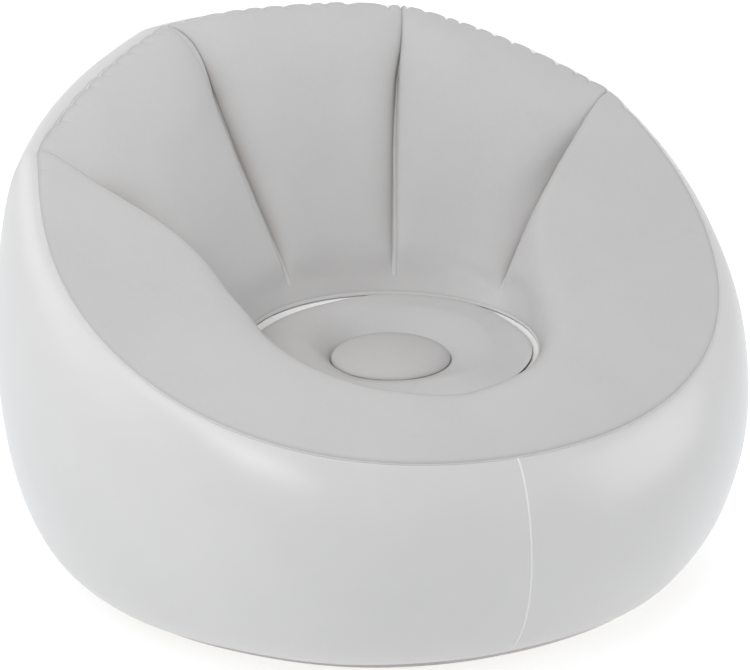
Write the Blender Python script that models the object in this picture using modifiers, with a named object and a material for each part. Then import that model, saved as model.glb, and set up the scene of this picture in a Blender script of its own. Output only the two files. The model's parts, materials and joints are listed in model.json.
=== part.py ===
"""Inflatable lounge chair: a round flocked air chair with a low front and a high ribbed back.

The chair stands on z = 0 with its front at -Y. Angles round the chair run from the front (0)
over the right side (90) to the back (180), in degrees. All lengths are in metres.
"""
import math

import bmesh
import bpy
import numpy as np
from mathutils import Matrix, Vector
from mathutils.bvhtree import BVHTree

# Belly: the widest line of the outer wall, an ellipse in plan
WIDTH = 1.02
DEPTH = 0.97
BELLY_SHOULDER = 0.007
SHOULDER_DEG = 34
SHOULDER_SPREAD_DEG = 20
BELLY_HEIGHT_FRONT = 0.154
BELLY_HEIGHT_SIDE = 0.272
BELLY_HEIGHT_BACK = 0.390
FOOT_ANGLE_DEG = 20

# Film, welds and clearances
FILM = 0.0005
GAP = 0.0003
LIFT = FILM + GAP
RIM_LAP = 0.005
WALL_LAP = 0.006
LAP_STEP = 0.0012
OVERRUN = 0.005

# Rim: the weld line where the flocked top meets the wall
RIM_HEIGHT_FRONT = 0.293
RIM_HEIGHT_SIDE = 0.496
RIM_HEIGHT_BACK = 0.705
RIM_REACH_FRONT = 0.430
RIM_REACH_SIDE = 0.444
RIM_REACH_BACK = 0.306
RIM_SWAY = 0.011
RIM_CORNER = 0.023
RIM_CORNER_SPREAD_DEG = 9

# Seams of the backrest, measured from the middle of the back
INNER_SEAM_DEG = 30.3
OUTER_SEAM_DEG = 71.5
INNER_SEAM_FOOT_DEG = 21.5
INNER_SEAM_FOOT_SHIFT_DEG = 3.3
OUTER_SEAM_FOOT_DEG = 69.5

# Seat hole in the flocked top, the white collar in it, and the round seat with its button
HOLE_RADIUS = 0.1975
HOLE_CENTRE_Y = -0.051
HOLE_HEIGHT = 0.3135
COLLAR_HEIGHT = 0.008
COLLAR_FLANGE = 0.006
SEAT_CREST_RISE = 0.0055
BUTTON_RADIUS = 0.081
BUTTON_DROP = 0.023
BUTTON_RISE = 0.024

# Section handles of the flocked top: start angle and reach at the rim, end angle and reach at the hole
ARM_STATIONS_DEG = (0, 30, 55, 80, 180 - OUTER_SEAM_DEG)
ARM_START_DEG = (35, 27, 8, -24, -13)
ARM_START_REACH = 0.270
ARM_START_SHARES = (0.34, 0.42, 0.50, 0.72, 1)
ARM_END_DEG = (29, 48, 74, 91, 62)
ARM_END_REACH = 0.200
ARM_END_SHARES = (0.345, 0.435, 0.56, 0.81, 1)
ARM_BLEND_DEG = 8
OUTER_SEAM_START_DEG = -22
OUTER_SEAM_START_REACH = 0.080
OUTER_SEAM_END_DEG = 45
OUTER_SEAM_END_REACH = 0.110
INNER_SEAM_START_DEG = -12
INNER_SEAM_START_REACH = 0.065
INNER_SEAM_END_DEG = 60
INNER_SEAM_END_REACH = 0.220
ARM_SHOULDER_DEG = 20
BULGE_CENTRE = 0.025
BULGE_SIDE = 0.031
CROWN_POWER_SHARE = 2.4
CROWN_REACH_SHARE = 0.88

# Base sheet: flat underside with a turned-up border
BASE_HALF_WIDTH = 0.402
BASE_HALF_DEPTH = 0.386
BASE_SHOULDER = 0.017
BORDER_HEIGHT = 0.012
BORDER_ROUND = 0.008

# Inner tie webs under the seams, and the tie tube under the button
WEB_CLEARANCE = 0.0006
WEB_RIM_INSET = 0.016
WEB_FOOT_INSET = 0.022
VENT_RADIUS = 0.016
VENT_HEIGHT_SHARES = (0.25, 0.5, 0.75)
TUBE_VENT_RADIUS = 0.020

# Air valve on the right rear of the wall: the welded base and the hole that it sits in
VALVE_ANGLE_DEG = 157
VALVE_HEIGHT = 0.150
VALVE_BORE_RADIUS = 0.0165
VALVE_WALL = 0.0020
VALVE_SKIRT_LENGTH = 0.0110
VALVE_BOSS_WALL = 0.0040
VALVE_BOSS_HEIGHT = 0.0070
VALVE_FLANGE_WIDTH = 0.0105
VALVE_FLANGE_THICKNESS = 0.0012
VALVE_HOLE_CLEARANCE = 0.0010

# The pieces that move on the valve: seal ring, screw plug, stopper cap and check flap
SEAL_WIDTH = 0.0033
SEAL_THICKNESS = 0.0016
PLUG_WALL = 0.0067
PLUG_HEAD_THICKNESS = 0.0024
PLUG_BARREL_LENGTH = 0.0125
CAP_LAP = 0.0040
CAP_THICKNESS = 0.0018
CAP_SPIGOT_CLEARANCE = 0.0008
CAP_SPIGOT_LENGTH = 0.0028
CAP_HINGE_CLEARANCE = 0.0007
CAP_STRAP_WIDTH = 0.0080
CAP_STRAP_THICKNESS = 0.0009
CAP_TAB_REACH = 0.0030
CAP_TAB_WIDTH = 0.0090
CAP_TAB_THICKNESS = 0.0009
FLAP_LAP = 0.0030
FLAP_THICKNESS = 0.0008
FLAP_TAB_LENGTH = 0.0014
FLAP_TAB_WIDTH = 0.0060

# Radii of the valve, each worked out from the bore
FLANGE_RADIUS = VALVE_BORE_RADIUS + VALVE_BOSS_WALL + VALVE_FLANGE_WIDTH
SKIRT_RADIUS = VALVE_BORE_RADIUS + VALVE_WALL
BARREL_RADIUS = VALVE_BORE_RADIUS - GAP
PORT_RADIUS = BARREL_RADIUS - PLUG_WALL
CAP_RADIUS = PORT_RADIUS + CAP_LAP
FLAP_RADIUS = PORT_RADIUS + FLAP_LAP

# Fineness of the meshes: steps along each stretch
ARM_STEPS = 20
SIDE_PANEL_STEPS = 10
CENTRE_PANEL_STEPS = 5
ARM_ROWS = 12
BACK_ROWS = 13
WALL_ROWS = 5
SEAT_STEPS = 32
SEAT_ROWS = 6
BUTTON_STEPS = 28
BUTTON_ROWS = 5
RING_STEPS = 60
TURNED_STEPS = 40
BORDER_STEPS = 3
VENT_STEPS = 20
WEB_TOP_STEPS = 14
WEB_SAMPLES = 56
FLANGE_RINGS = 4
HEIGHT_SAMPLES = 400
BLEND_SAMPLES = 9

# Finishes: linear base colour, roughness, metallic
FLOCK = ((0.520, 0.512, 0.515), 0.95, 0.0)
WALL_FILM = ((0.700, 0.700, 0.700), 0.38, 0.0)
BASE_FILM = ((0.545, 0.520, 0.530), 0.45, 0.0)
INNER_FILM = ((0.640, 0.640, 0.640), 0.40, 0.0)
VALVE_PLASTIC = ((0.760, 0.760, 0.750), 0.35, 0.0)
SEAL_RUBBER = ((0.300, 0.300, 0.300), 0.60, 0.0)
FLAP_SILICONE = ((0.620, 0.640, 0.650), 0.45, 0.0)

QUARTER = math.pi / 2
MERGE = 0.0001
CREASE_DEG = 30
SMALL_STEP_SHARE = 1e-4
RIM_STEP_SHARE = 0.01
SEAMS_FROM_BACK_DEG = (-OUTER_SEAM_DEG, -INNER_SEAM_DEG, INNER_SEAM_DEG, OUTER_SEAM_DEG)
SEAM_ANGLES = np.radians([180 + seam for seam in SEAMS_FROM_BACK_DEG])


# Scene set-up

def clear_scene():
    """Remove every object and open one collection for the chair and one for its cutters."""
    for old in list(bpy.data.objects):
        bpy.data.objects.remove(old, do_unlink=True)
    for name in ("inflatable_chair", "cutters"):
        bpy.context.scene.collection.children.link(bpy.data.collections.new(name))


def add_object(name, data, finish=None, parent=None, matrix=None, collection="inflatable_chair"):
    """Link a new object, give it its material and place it under its parent."""
    made = bpy.data.objects.new(name, data)
    bpy.data.collections[collection].objects.link(made)
    if finish is not None:
        data.materials.append(material(name, finish))
    if parent is not None:
        made.parent = parent
    if matrix is not None:
        made.matrix_local = matrix
    return made


def material(name, finish):
    """A plain Principled material from a colour, a roughness and a metallic value."""
    colour, roughness, metallic = finish
    made = bpy.data.materials.new(name)
    made.use_nodes = True
    shader = made.node_tree.nodes["Principled BSDF"]
    shader.inputs["Base Color"].default_value = (*colour, 1)
    shader.inputs["Roughness"].default_value = roughness
    shader.inputs["Metallic"].default_value = metallic
    return made


# Plan curves of the chair

def round_wave(front, side, back, phi):
    """The value at angle phi of a smooth wave through its front, side and back values."""
    mean = (front + back + 2 * side) / 4
    tilt = (front - back) / 2
    squash = (front + back - 2 * side) / 4
    return mean + tilt * np.cos(phi) + squash * np.cos(2 * phi)


def turn_gap(phi, seam):
    """The unsigned angle between phi and a seam."""
    return np.abs((phi - seam + math.pi) % (2 * math.pi) - math.pi)


def from_back(phi):
    """The angle from the middle of the back, positive on the right side."""
    return (math.pi - phi + math.pi) % (2 * math.pi) - math.pi


def place(phi, reach, height):
    """A point at a reach and height in the direction phi from the chair's axis."""
    flat = np.zeros(np.broadcast(phi, reach, height).shape)
    return np.stack([flat + reach * np.sin(phi), flat - reach * np.cos(phi), flat + height], axis=-1)


def ellipse_reach(phi, half_width, half_depth):
    """The reach of an ellipse round the chair's axis."""
    return 1 / np.sqrt((np.sin(phi) / half_width) ** 2 + (np.cos(phi) / half_depth) ** 2)


def shoulder_share(phi):
    """How much of the front shoulders' fullness stands at phi: 1 on each shoulder."""
    away = np.minimum(turn_gap(phi, math.radians(SHOULDER_DEG)), turn_gap(phi, -math.radians(SHOULDER_DEG)))
    return np.exp(-(away / math.radians(SHOULDER_SPREAD_DEG)) ** 2)


def base_reach(phi):
    """The base weld in plan: an ellipse, fuller at the front shoulders."""
    return ellipse_reach(phi, BASE_HALF_WIDTH, BASE_HALF_DEPTH) + BASE_SHOULDER * shoulder_share(phi)


def belly_reach(phi):
    """The belly line in plan: an ellipse, fuller at the front shoulders."""
    return ellipse_reach(phi, WIDTH / 2, DEPTH / 2) + BELLY_SHOULDER * shoulder_share(phi)


def rim_reach(phi):
    """The rim in plan: a wave with a corner standing out at each seam."""
    spread = math.radians(RIM_CORNER_SPREAD_DEG)
    corners = sum(np.exp(-turn_gap(phi, seam) / spread) for seam in SEAM_ANGLES)
    return round_wave(RIM_REACH_FRONT, RIM_REACH_SIDE, RIM_REACH_BACK, phi) + RIM_CORNER * corners


def rim_height(phi):
    """The rim's height: low at the front, with a faster climb behind the sides."""
    wave = round_wave(RIM_HEIGHT_FRONT, RIM_HEIGHT_SIDE, RIM_HEIGHT_BACK, phi)
    return wave + RIM_SWAY * (np.cos(3 * phi) - np.cos(phi))


def wall_points(phi, rise):
    """The outer wall: rise 0 at the base weld, 1 on the belly line and 2 at the rim.

    Below the belly the section is an elliptic arc that meets the base at the foot angle,
    and above it a quarter ellipse that ends level at the rim.
    """
    foot = math.radians(FOOT_ANGLE_DEG)
    belly = belly_reach(phi)
    belly_z = round_wave(BELLY_HEIGHT_FRONT, BELLY_HEIGHT_SIDE, BELLY_HEIGHT_BACK, phi)
    base = base_reach(phi)
    low = foot + (QUARTER - foot) * np.minimum(rise, 1)
    high = QUARTER * np.maximum(rise - 1, 0)
    low_reach = belly - (belly - base) * (1 - np.sin(low)) / (1 - math.sin(foot))
    low_z = belly_z - (belly_z - BORDER_HEIGHT) * np.cos(low) / math.cos(foot)
    high_reach = belly - (belly - rim_reach(phi)) * (1 - np.cos(high))
    high_z = belly_z + (rim_height(phi) - belly_z) * np.sin(high)
    below = rise < 1
    return place(phi, np.where(below, low_reach, high_reach), np.where(below, low_z, high_z))


# Sections of the flocked top

def hole_points(phi):
    """The point of the seat hole's edge that the section at phi runs down to."""
    left_foot = INNER_SEAM_FOOT_SHIFT_DEG - INNER_SEAM_FOOT_DEG
    right_foot = INNER_SEAM_FOOT_SHIFT_DEG + INNER_SEAM_FOOT_DEG
    stations = [-180, *SEAMS_FROM_BACK_DEG, 180]
    feet = [-180, -OUTER_SEAM_FOOT_DEG, left_foot, right_foot, OUTER_SEAM_FOOT_DEG, 180]
    foot = np.radians(np.interp(np.degrees(from_back(phi)), stations, feet))
    points = place(math.pi - foot, HOLE_RADIUS, HOLE_HEIGHT)
    points[..., 1] += HOLE_CENTRE_Y
    return points


def bezier_section(phi, t, start_deg, start_reach, end_deg, end_reach):
    """A cubic curve from the rim to the hole, in the upright plane through both ends."""
    rim = place(phi, rim_reach(phi), rim_height(phi) + LIFT)
    hole = hole_points(phi)
    across = hole[..., :2] - rim[..., :2]
    length = np.linalg.norm(across, axis=-1)
    start = np.radians(start_deg)
    end = np.radians(end_deg)
    weights = [(1 - t) ** 3, 3 * (1 - t) ** 2 * t, 3 * (1 - t) * t ** 2, t ** 3]
    runs = [0 * length, start_reach * np.cos(start), length - end_reach * np.cos(end), length]
    rim_handle = rim[..., 2] + start_reach * np.sin(start)
    hole_handle = hole[..., 2] + end_reach * np.sin(end)
    heights = [rim[..., 2], rim_handle, hole_handle, hole[..., 2]]
    run = sum(weight * value for weight, value in zip(weights, runs)) / length
    height = sum(weight * value for weight, value in zip(weights, heights))
    flat = rim[..., :2] + run[..., None] * across
    return np.concatenate([flat, height[..., None]], axis=-1)


def crown(share):
    """A pillow's section: 0 on both seams, 1 in the middle, steep at the seams."""
    return 1 - np.abs(2 * share - 1) ** CROWN_POWER_SHARE


def arm_handle(phi, values):
    """A handle of the arm's section at phi: straight between stations, then averaged over a window."""
    angle = np.degrees(turn_gap(phi, 0))
    offsets = np.linspace(-1, 1, BLEND_SAMPLES)
    weights = 1 + np.cos(math.pi * offsets)
    stretches = [np.interp(angle + offset * ARM_BLEND_DEG, ARM_STATIONS_DEG, values) for offset in offsets]
    return sum(weight * stretch for weight, stretch in zip(weights, stretches)) / weights.sum()


def top_base(phi, t):
    """The flocked top before its back panels bulge: arms in front, seam valleys behind."""
    back = np.degrees(np.abs(from_back(phi)))
    arm = bezier_section(phi, t,
                         arm_handle(phi, ARM_START_DEG),
                         arm_handle(phi, ARM_START_SHARES) * ARM_START_REACH,
                         arm_handle(phi, ARM_END_DEG),
                         arm_handle(phi, ARM_END_SHARES) * ARM_END_REACH)
    seams = [INNER_SEAM_DEG, OUTER_SEAM_DEG]
    valley = bezier_section(phi, t,
                            np.interp(back, seams, [INNER_SEAM_START_DEG, OUTER_SEAM_START_DEG]),
                            np.interp(back, seams, [INNER_SEAM_START_REACH, OUTER_SEAM_START_REACH]),
                            np.interp(back, seams, [INNER_SEAM_END_DEG, OUTER_SEAM_END_DEG]),
                            np.interp(back, seams, [INNER_SEAM_END_REACH, OUTER_SEAM_END_REACH]))
    shoulder = np.clip((back - OUTER_SEAM_DEG) / ARM_SHOULDER_DEG, 0, 1) / 2
    weight = crown(shoulder)[..., None]
    return valley * (1 - weight) + arm * weight


def top_normals(phi, t):
    """Unit normals of the unbulged top, pointing up and out of the air chamber."""
    step = SMALL_STEP_SHARE
    along = top_base(phi, np.minimum(t + step, 1)) - top_base(phi, np.maximum(t - step, 0))
    round_about = top_base(phi + step, t) - top_base(phi - step, t)
    normals = np.cross(along, round_about)
    normals /= np.linalg.norm(normals, axis=-1, keepdims=True)
    return normals * np.sign(normals[..., 2:3])


def top_points(phi, t):
    """The flocked top: phi round the chair, t from the rim (0) to the seat hole (1)."""
    back = np.degrees(from_back(phi))
    side = np.abs(back) > INNER_SEAM_DEG
    side_share = (np.abs(back) - INNER_SEAM_DEG) / (OUTER_SEAM_DEG - INNER_SEAM_DEG)
    centre_share = (back + INNER_SEAM_DEG) / (2 * INNER_SEAM_DEG)
    share = np.clip(np.where(side, side_share, centre_share), 0, 1)
    height = np.where(side, BULGE_SIDE, BULGE_CENTRE)
    bulge = height * crown(share) * np.sin(math.pi * t ** CROWN_REACH_SHARE)
    return top_base(phi, t) + bulge[..., None] * top_normals(phi, t)


# Mesh helpers

def columns(*stops_and_steps):
    """Angles in radians through (start, stop, steps) stretches that share their ends."""
    stretches = [np.linspace(start, stop, steps + 1)[:-1] for start, stop, steps in stops_and_steps]
    return np.radians(np.concatenate(stretches + [[stops_and_steps[-1][1]]]))


def trimmed(points):
    """Draw a grid's first and last columns back by the gap, along their own facets."""
    points = points.copy()
    for edge, inner in ((0, 1), (-1, -2)):
        step = points[:, inner] - points[:, edge]
        points[:, edge] += step * (GAP / np.linalg.norm(step, axis=-1, keepdims=True))
    return points


def sheet(name, points, finish, flip=False):
    """A film sheet from a grid of points: an open surface that Solidify thickens inwards."""
    rows, cols = points.shape[:2]
    index = np.arange(rows * cols).reshape(rows, cols)
    corners = [index[:-1, :-1], index[:-1, 1:], index[1:, 1:], index[1:, :-1]]
    quads = np.stack(corners, axis=-1).reshape(-1, 4)
    if flip:
        quads = quads[:, ::-1]
    mesh = bpy.data.meshes.new(name)
    mesh.from_pydata(points.reshape(-1, 3).tolist(), [], quads.tolist())
    mesh.shade_smooth()
    made = add_object(name, mesh, finish)
    thicken(made, FILM)
    return made


def thicken(made, thickness):
    """Solidify towards the inside of the surface."""
    shell = made.modifiers.new("film", "SOLIDIFY")
    shell.thickness = thickness
    shell.offset = -1


def turned(name, profile, steps, finish, closed=True, parent=None, matrix=None):
    """A turned piece: its profile of (radius, height) points, swept round Z by a Screw modifier."""
    mesh = bpy.data.meshes.new(name)
    last = len(profile)
    edges = [(i, i + 1) for i in range(last - 1)] + ([(last - 1, 0)] if closed else [])
    mesh.from_pydata([(radius, 0, height) for radius, height in profile], edges, [])
    made = add_object(name, mesh, finish, parent, matrix)
    sweep = made.modifiers.new("turn", "SCREW")
    sweep.steps = steps
    sweep.render_steps = steps
    sweep.use_merge_vertices = True
    sweep.merge_threshold = MERGE
    sweep.use_smooth_shade = not closed
    return made


def settle(made):
    """Apply a moulded piece's modifiers, then shade it smooth with its corners left sharp."""
    evaluated = made.evaluated_get(bpy.context.evaluated_depsgraph_get())
    mesh = bpy.data.meshes.new_from_object(evaluated)
    mesh.shade_smooth()
    mesh.set_sharp_from_angle(angle=math.radians(CREASE_DEG))
    made.modifiers.clear()
    made.data = mesh


def cutter(name, radius, length, matrix):
    """A round cutter whose axis is the local Z of a matrix."""
    bm = bmesh.new()
    bmesh.ops.create_cone(bm, cap_ends=True, segments=VENT_STEPS, radius1=radius, radius2=radius,
                          depth=length)
    mesh = bpy.data.meshes.new(name)
    bm.to_mesh(mesh)
    bm.free()
    made = add_object(name, mesh, collection="cutters")
    made.matrix_world = matrix
    made.hide_render = True
    made.display_type = "WIRE"
    return made


def cut(made, tool):
    """Take a cutter out of a piece."""
    boolean = made.modifiers.new(tool.name, "BOOLEAN")
    boolean.operation = "DIFFERENCE"
    boolean.object = tool


# Outer skin

def build_base_sheet():
    """The underside: a flat sheet whose border turns up to the base weld, bridged ring by ring."""
    phi = np.linspace(0, 2 * math.pi, RING_STEPS + 1)[:-1]
    turns = np.linspace(QUARTER, 0, BORDER_STEPS + 1)[:, None]
    reach = base_reach(phi)[None, :] - BORDER_ROUND * (1 - np.sin(turns))
    rings = place(phi[None, :], reach, (BORDER_HEIGHT - GAP) * (1 - np.cos(turns)))
    bm = bmesh.new()
    loops = [[bm.verts.new(point) for point in ring] for ring in rings]
    edges = [[bm.edges.new(pair) for pair in zip(loop, loop[1:] + loop[:1])] for loop in loops]
    for upper, lower in zip(edges[:-1], edges[1:]):
        bmesh.ops.bridge_loops(bm, edges=upper + lower)
    bm.faces.new(loops[-1])
    bmesh.ops.recalc_face_normals(bm, faces=bm.faces)
    if max(bm.faces, key=lambda face: face.calc_area()).normal.z > 0:
        bmesh.ops.reverse_faces(bm, faces=bm.faces)
    mesh = bpy.data.meshes.new("base_sheet")
    bm.to_mesh(mesh)
    bm.free()
    thicken(add_object("base_sheet", mesh, BASE_FILM), FILM)


def right_wall_grid():
    """The right half of the wall, from the front weld to the rear weld."""
    phi = columns((0, 180 - OUTER_SEAM_DEG, ARM_STEPS),
                  (180 - OUTER_SEAM_DEG, 180 - INNER_SEAM_DEG, SIDE_PANEL_STEPS),
                  (180 - INNER_SEAM_DEG, 180, CENTRE_PANEL_STEPS))
    rise = np.linspace(0, 2, 2 * WALL_ROWS + 1)
    return wall_points(phi[None, :], rise[:, None])


def lap_tongue(grid, edge, inner):
    """Two columns of the lapped edge, under the first facets of the sheet that covers it."""
    step = grid[:, inner] - grid[:, edge]
    unit = step / np.linalg.norm(step, axis=-1, keepdims=True)
    normal = np.cross(unit, np.gradient(grid[:, edge], axis=0))
    normal /= np.linalg.norm(normal, axis=-1, keepdims=True)
    outward = grid[:, edge] * [1, 1, 0]
    normal *= np.sign(np.sum(normal * outward, axis=-1, keepdims=True))
    under = grid[:, edge] - normal * LIFT
    return under, under + unit * WALL_LAP


def build_walls():
    """Two half walls, the left one lapped under the right one at the front and rear welds."""
    right = right_wall_grid()
    left = right * [-1, 1, 1]
    made = sheet("side_wall_right", trimmed(right), WALL_FILM)
    parts = []
    for edge, inner in ((0, 1), (-1, -2)):
        step = left[:, inner] - left[:, edge]
        shoulder = left[:, edge] + step * (LAP_STEP / np.linalg.norm(step, axis=-1, keepdims=True))
        near, far = lap_tongue(right, edge, inner)
        order = (far, near, shoulder) if edge == 0 else (shoulder, near, far)
        parts.append(np.stack(order, axis=1))
    grid = np.concatenate([parts[0], left[:, 1:-1], parts[1]], axis=1)
    sheet("side_wall_left", grid, WALL_FILM, flip=True)
    return made


def panel_grid(phi, rows):
    """A flocked panel's grid: one row lapped over the wall, then the section down to the hole."""
    inner = top_points(phi[None, :], np.linspace(0, 1, rows + 1)[:, None])
    rim = wall_points(phi, np.full(phi.shape, 2.0))
    below = wall_points(phi, np.full(phi.shape, 2 - RIM_STEP_SHARE))
    down = (below - rim) / np.linalg.norm(below - rim, axis=-1, keepdims=True)
    lap = rim + down * RIM_LAP
    lap[:, 2] += LIFT
    return np.concatenate([lap[None], inner], axis=0)


def build_top_panels():
    """The flocked top: one arm panel round the front, and three back panels."""
    outer, inner = 180 - OUTER_SEAM_DEG, 180 - INNER_SEAM_DEG
    panels = {
        "arm_panel": (columns((-outer, outer, 2 * ARM_STEPS)), ARM_ROWS),
        "back_panel_right": (columns((outer, inner, SIDE_PANEL_STEPS)), BACK_ROWS),
        "back_panel_centre": (columns((inner, 360 - inner, 2 * CENTRE_PANEL_STEPS)), BACK_ROWS),
        "back_panel_left": (columns((360 - inner, 360 - outer, SIDE_PANEL_STEPS)), BACK_ROWS),
    }
    for name, (phi, rows) in panels.items():
        sheet(name, trimmed(panel_grid(phi, rows)), FLOCK)


# Seat

def build_seat():
    """The collar, the round seat, its button, and the tube that ties the button down."""
    centre = Matrix.Translation((0, HOLE_CENTRE_Y, 0))
    collar_top = HOLE_HEIGHT - LIFT
    collar_foot = collar_top - COLLAR_HEIGHT
    flange = HOLE_RADIUS - COLLAR_FLANGE
    collar = [(HOLE_RADIUS, collar_top), (HOLE_RADIUS, collar_foot), (flange, collar_foot)]
    made = turned("seat_collar", collar, RING_STEPS, WALL_FILM, closed=False, matrix=centre)
    thicken(made, FILM)

    edge = HOLE_RADIUS - FILM - LIFT
    edge_height = collar_foot + LIFT + FILM
    crest_height = HOLE_HEIGHT + SEAT_CREST_RISE
    button_height = HOLE_HEIGHT - BUTTON_DROP
    groove = BUTTON_RADIUS + GAP + FILM
    middle = (edge + groove) / 2
    half = (edge - groove) / 2
    ring = []
    for turn in np.linspace(0, math.pi, SEAT_ROWS + 1):
        side = edge_height if turn < QUARTER else button_height
        ring.append((middle + half * math.cos(turn), side + (crest_height - side) * math.sin(turn)))
    made = turned("seat_top", ring, SEAT_STEPS, FLOCK, closed=False, matrix=centre)
    thicken(made, FILM)

    dome = [(0, button_height + BUTTON_RISE)]
    for turn in np.linspace(QUARTER, 0, BUTTON_ROWS + 1)[1:]:
        dome.append((BUTTON_RADIUS * math.cos(turn), button_height + BUTTON_RISE * math.sin(turn)))
    made = turned("seat_button", dome, BUTTON_STEPS, FLOCK, closed=False, matrix=centre)
    thicken(made, FILM)

    top = button_height - LIFT
    inner = BUTTON_RADIUS - FILM
    tube = [(BUTTON_RADIUS, top), (BUTTON_RADIUS, LIFT), (inner, LIFT), (inner, top)]
    made = turned("seat_tie_tube", tube, TURNED_STEPS, INNER_FILM, matrix=centre)
    across = 2 * (BUTTON_RADIUS + OVERRUN)
    halfway = Matrix.Translation((0, HOLE_CENTRE_Y, (top + LIFT) / 2))
    for number, turn in enumerate((0, QUARTER)):
        axis = Matrix.Rotation(turn, 4, "Z") @ Matrix.Rotation(QUARTER, 4, "X")
        cut(made, cutter(f"tube_vent_{number}", TUBE_VENT_RADIUS, across, halfway @ axis))


# Tie webs

def build_seam_webs():
    """A flat web of film under each seam, from the seam down to the base sheet."""
    names = ("right_outer", "right_inner", "left_inner", "left_outer")
    for name, seam in zip(names, SEAM_ANGLES):
        build_web(f"seam_web_{name}", seam)


def build_web(name, seam):
    """One web: a 2D outline with vent holes, filled and extruded to the film's thickness."""
    t = np.linspace(0, 1, WEB_SAMPLES)
    line = top_points(np.full(t.shape, seam), t)
    rim = line[0]
    direction = (line[-1] - rim) * [1, 1, 0]
    length = np.linalg.norm(direction)
    direction /= length
    run = (line - rim) @ direction
    height = line[:, 2]
    slope = np.gradient(height) / np.gradient(run)
    drop = (LIFT + WEB_CLEARANCE) / np.sqrt(1 + slope ** 2)
    low_run = run + drop * slope
    low_height = height - drop
    stations = np.linspace(WEB_RIM_INSET, length - WEB_RIM_INSET, WEB_TOP_STEPS)
    top = [(float(x), float(np.interp(x, low_run, low_height))) for x in stations]
    past_base = float(np.linalg.norm(rim[:2]) - base_reach(seam))
    foot_run = max(past_base + WEB_FOOT_INSET, WEB_RIM_INSET)
    outline = top + [(float(stations[-1]), LIFT), (foot_run, LIFT)]
    curve = bpy.data.curves.new(name, "CURVE")
    curve.dimensions = "2D"
    curve.fill_mode = "BOTH"
    curve.extrude = FILM / 2
    add_outline(curve, outline)
    middle = (stations[0] + stations[-1]) / 2
    roof = float(np.interp(middle, low_run, low_height))
    turns = np.linspace(0, 2 * math.pi, VENT_STEPS + 1)[:-1]
    for share in VENT_HEIGHT_SHARES:
        across = middle + VENT_RADIUS * np.cos(turns)
        upright = share * roof + VENT_RADIUS * np.sin(turns)
        add_outline(curve, zip(across.tolist(), upright.tolist()))
    frame = Matrix((
        (direction[0], 0, direction[1], rim[0]),
        (direction[1], 0, -direction[0], rim[1]),
        (0, 1, 0, 0),
        (0, 0, 0, 1)))
    made = add_object(name, curve, INNER_FILM)
    made.matrix_world = frame


def add_outline(curve, outline):
    """One closed straight-sided spline of a flat curve."""
    points = list(outline)
    spline = curve.splines.new("POLY")
    spline.points.add(len(points) - 1)
    for point, (x, y) in zip(spline.points, points):
        point.co = (x, y, 0, 1)
    spline.use_cyclic_u = True


# Air valve

def valve_frame(wall):
    """The valve's seat on the wall: local Z points out of the chair, local X points down the wall."""
    phi = math.radians(VALVE_ANGLE_DEG)
    rises = np.linspace(0, 1, HEIGHT_SAMPLES)
    heights = wall_points(np.full(rises.shape, phi), rises)[:, 2]
    rise = float(np.interp(VALVE_HEIGHT, heights, rises))
    step = SMALL_STEP_SHARE
    point = Vector(wall_points(np.array(phi), np.array(rise)))
    up = Vector(wall_points(np.array(phi), np.array(rise + step))) - point
    round_about = Vector(wall_points(np.array(phi + step), np.array(rise))) - point
    outward = round_about.cross(up).normalized()
    down = (-up).normalized()
    across = outward.cross(down).normalized()
    frame = Matrix((
        (down.x, across.x, outward.x, point.x),
        (down.y, across.y, outward.y, point.y),
        (down.z, across.z, outward.z, point.z),
        (0, 0, 0, 1)))
    return frame @ Matrix.Translation((0, 0, seat_height(wall, frame) + GAP))


def seat_height(wall, frame):
    """How high the wall's facets stand in the valve's frame under the ring of the flange."""
    mesh = wall.data
    tree = BVHTree.FromPolygons([v.co for v in mesh.vertices], [tuple(p.vertices) for p in mesh.polygons])
    outward = (frame.to_3x3() @ Vector((0, 0, 1))).normalized()
    heights = []
    for radius in np.linspace(SKIRT_RADIUS, FLANGE_RADIUS, FLANGE_RINGS):
        for turn in np.linspace(0, 2 * math.pi, VENT_STEPS, endpoint=False):
            above = frame @ Vector((radius * math.cos(turn), radius * math.sin(turn), FLANGE_RADIUS))
            hit = tree.ray_cast(above, -outward)[0]
            heights.append(FLANGE_RADIUS - (above - hit).length)
    return max(heights)


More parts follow.
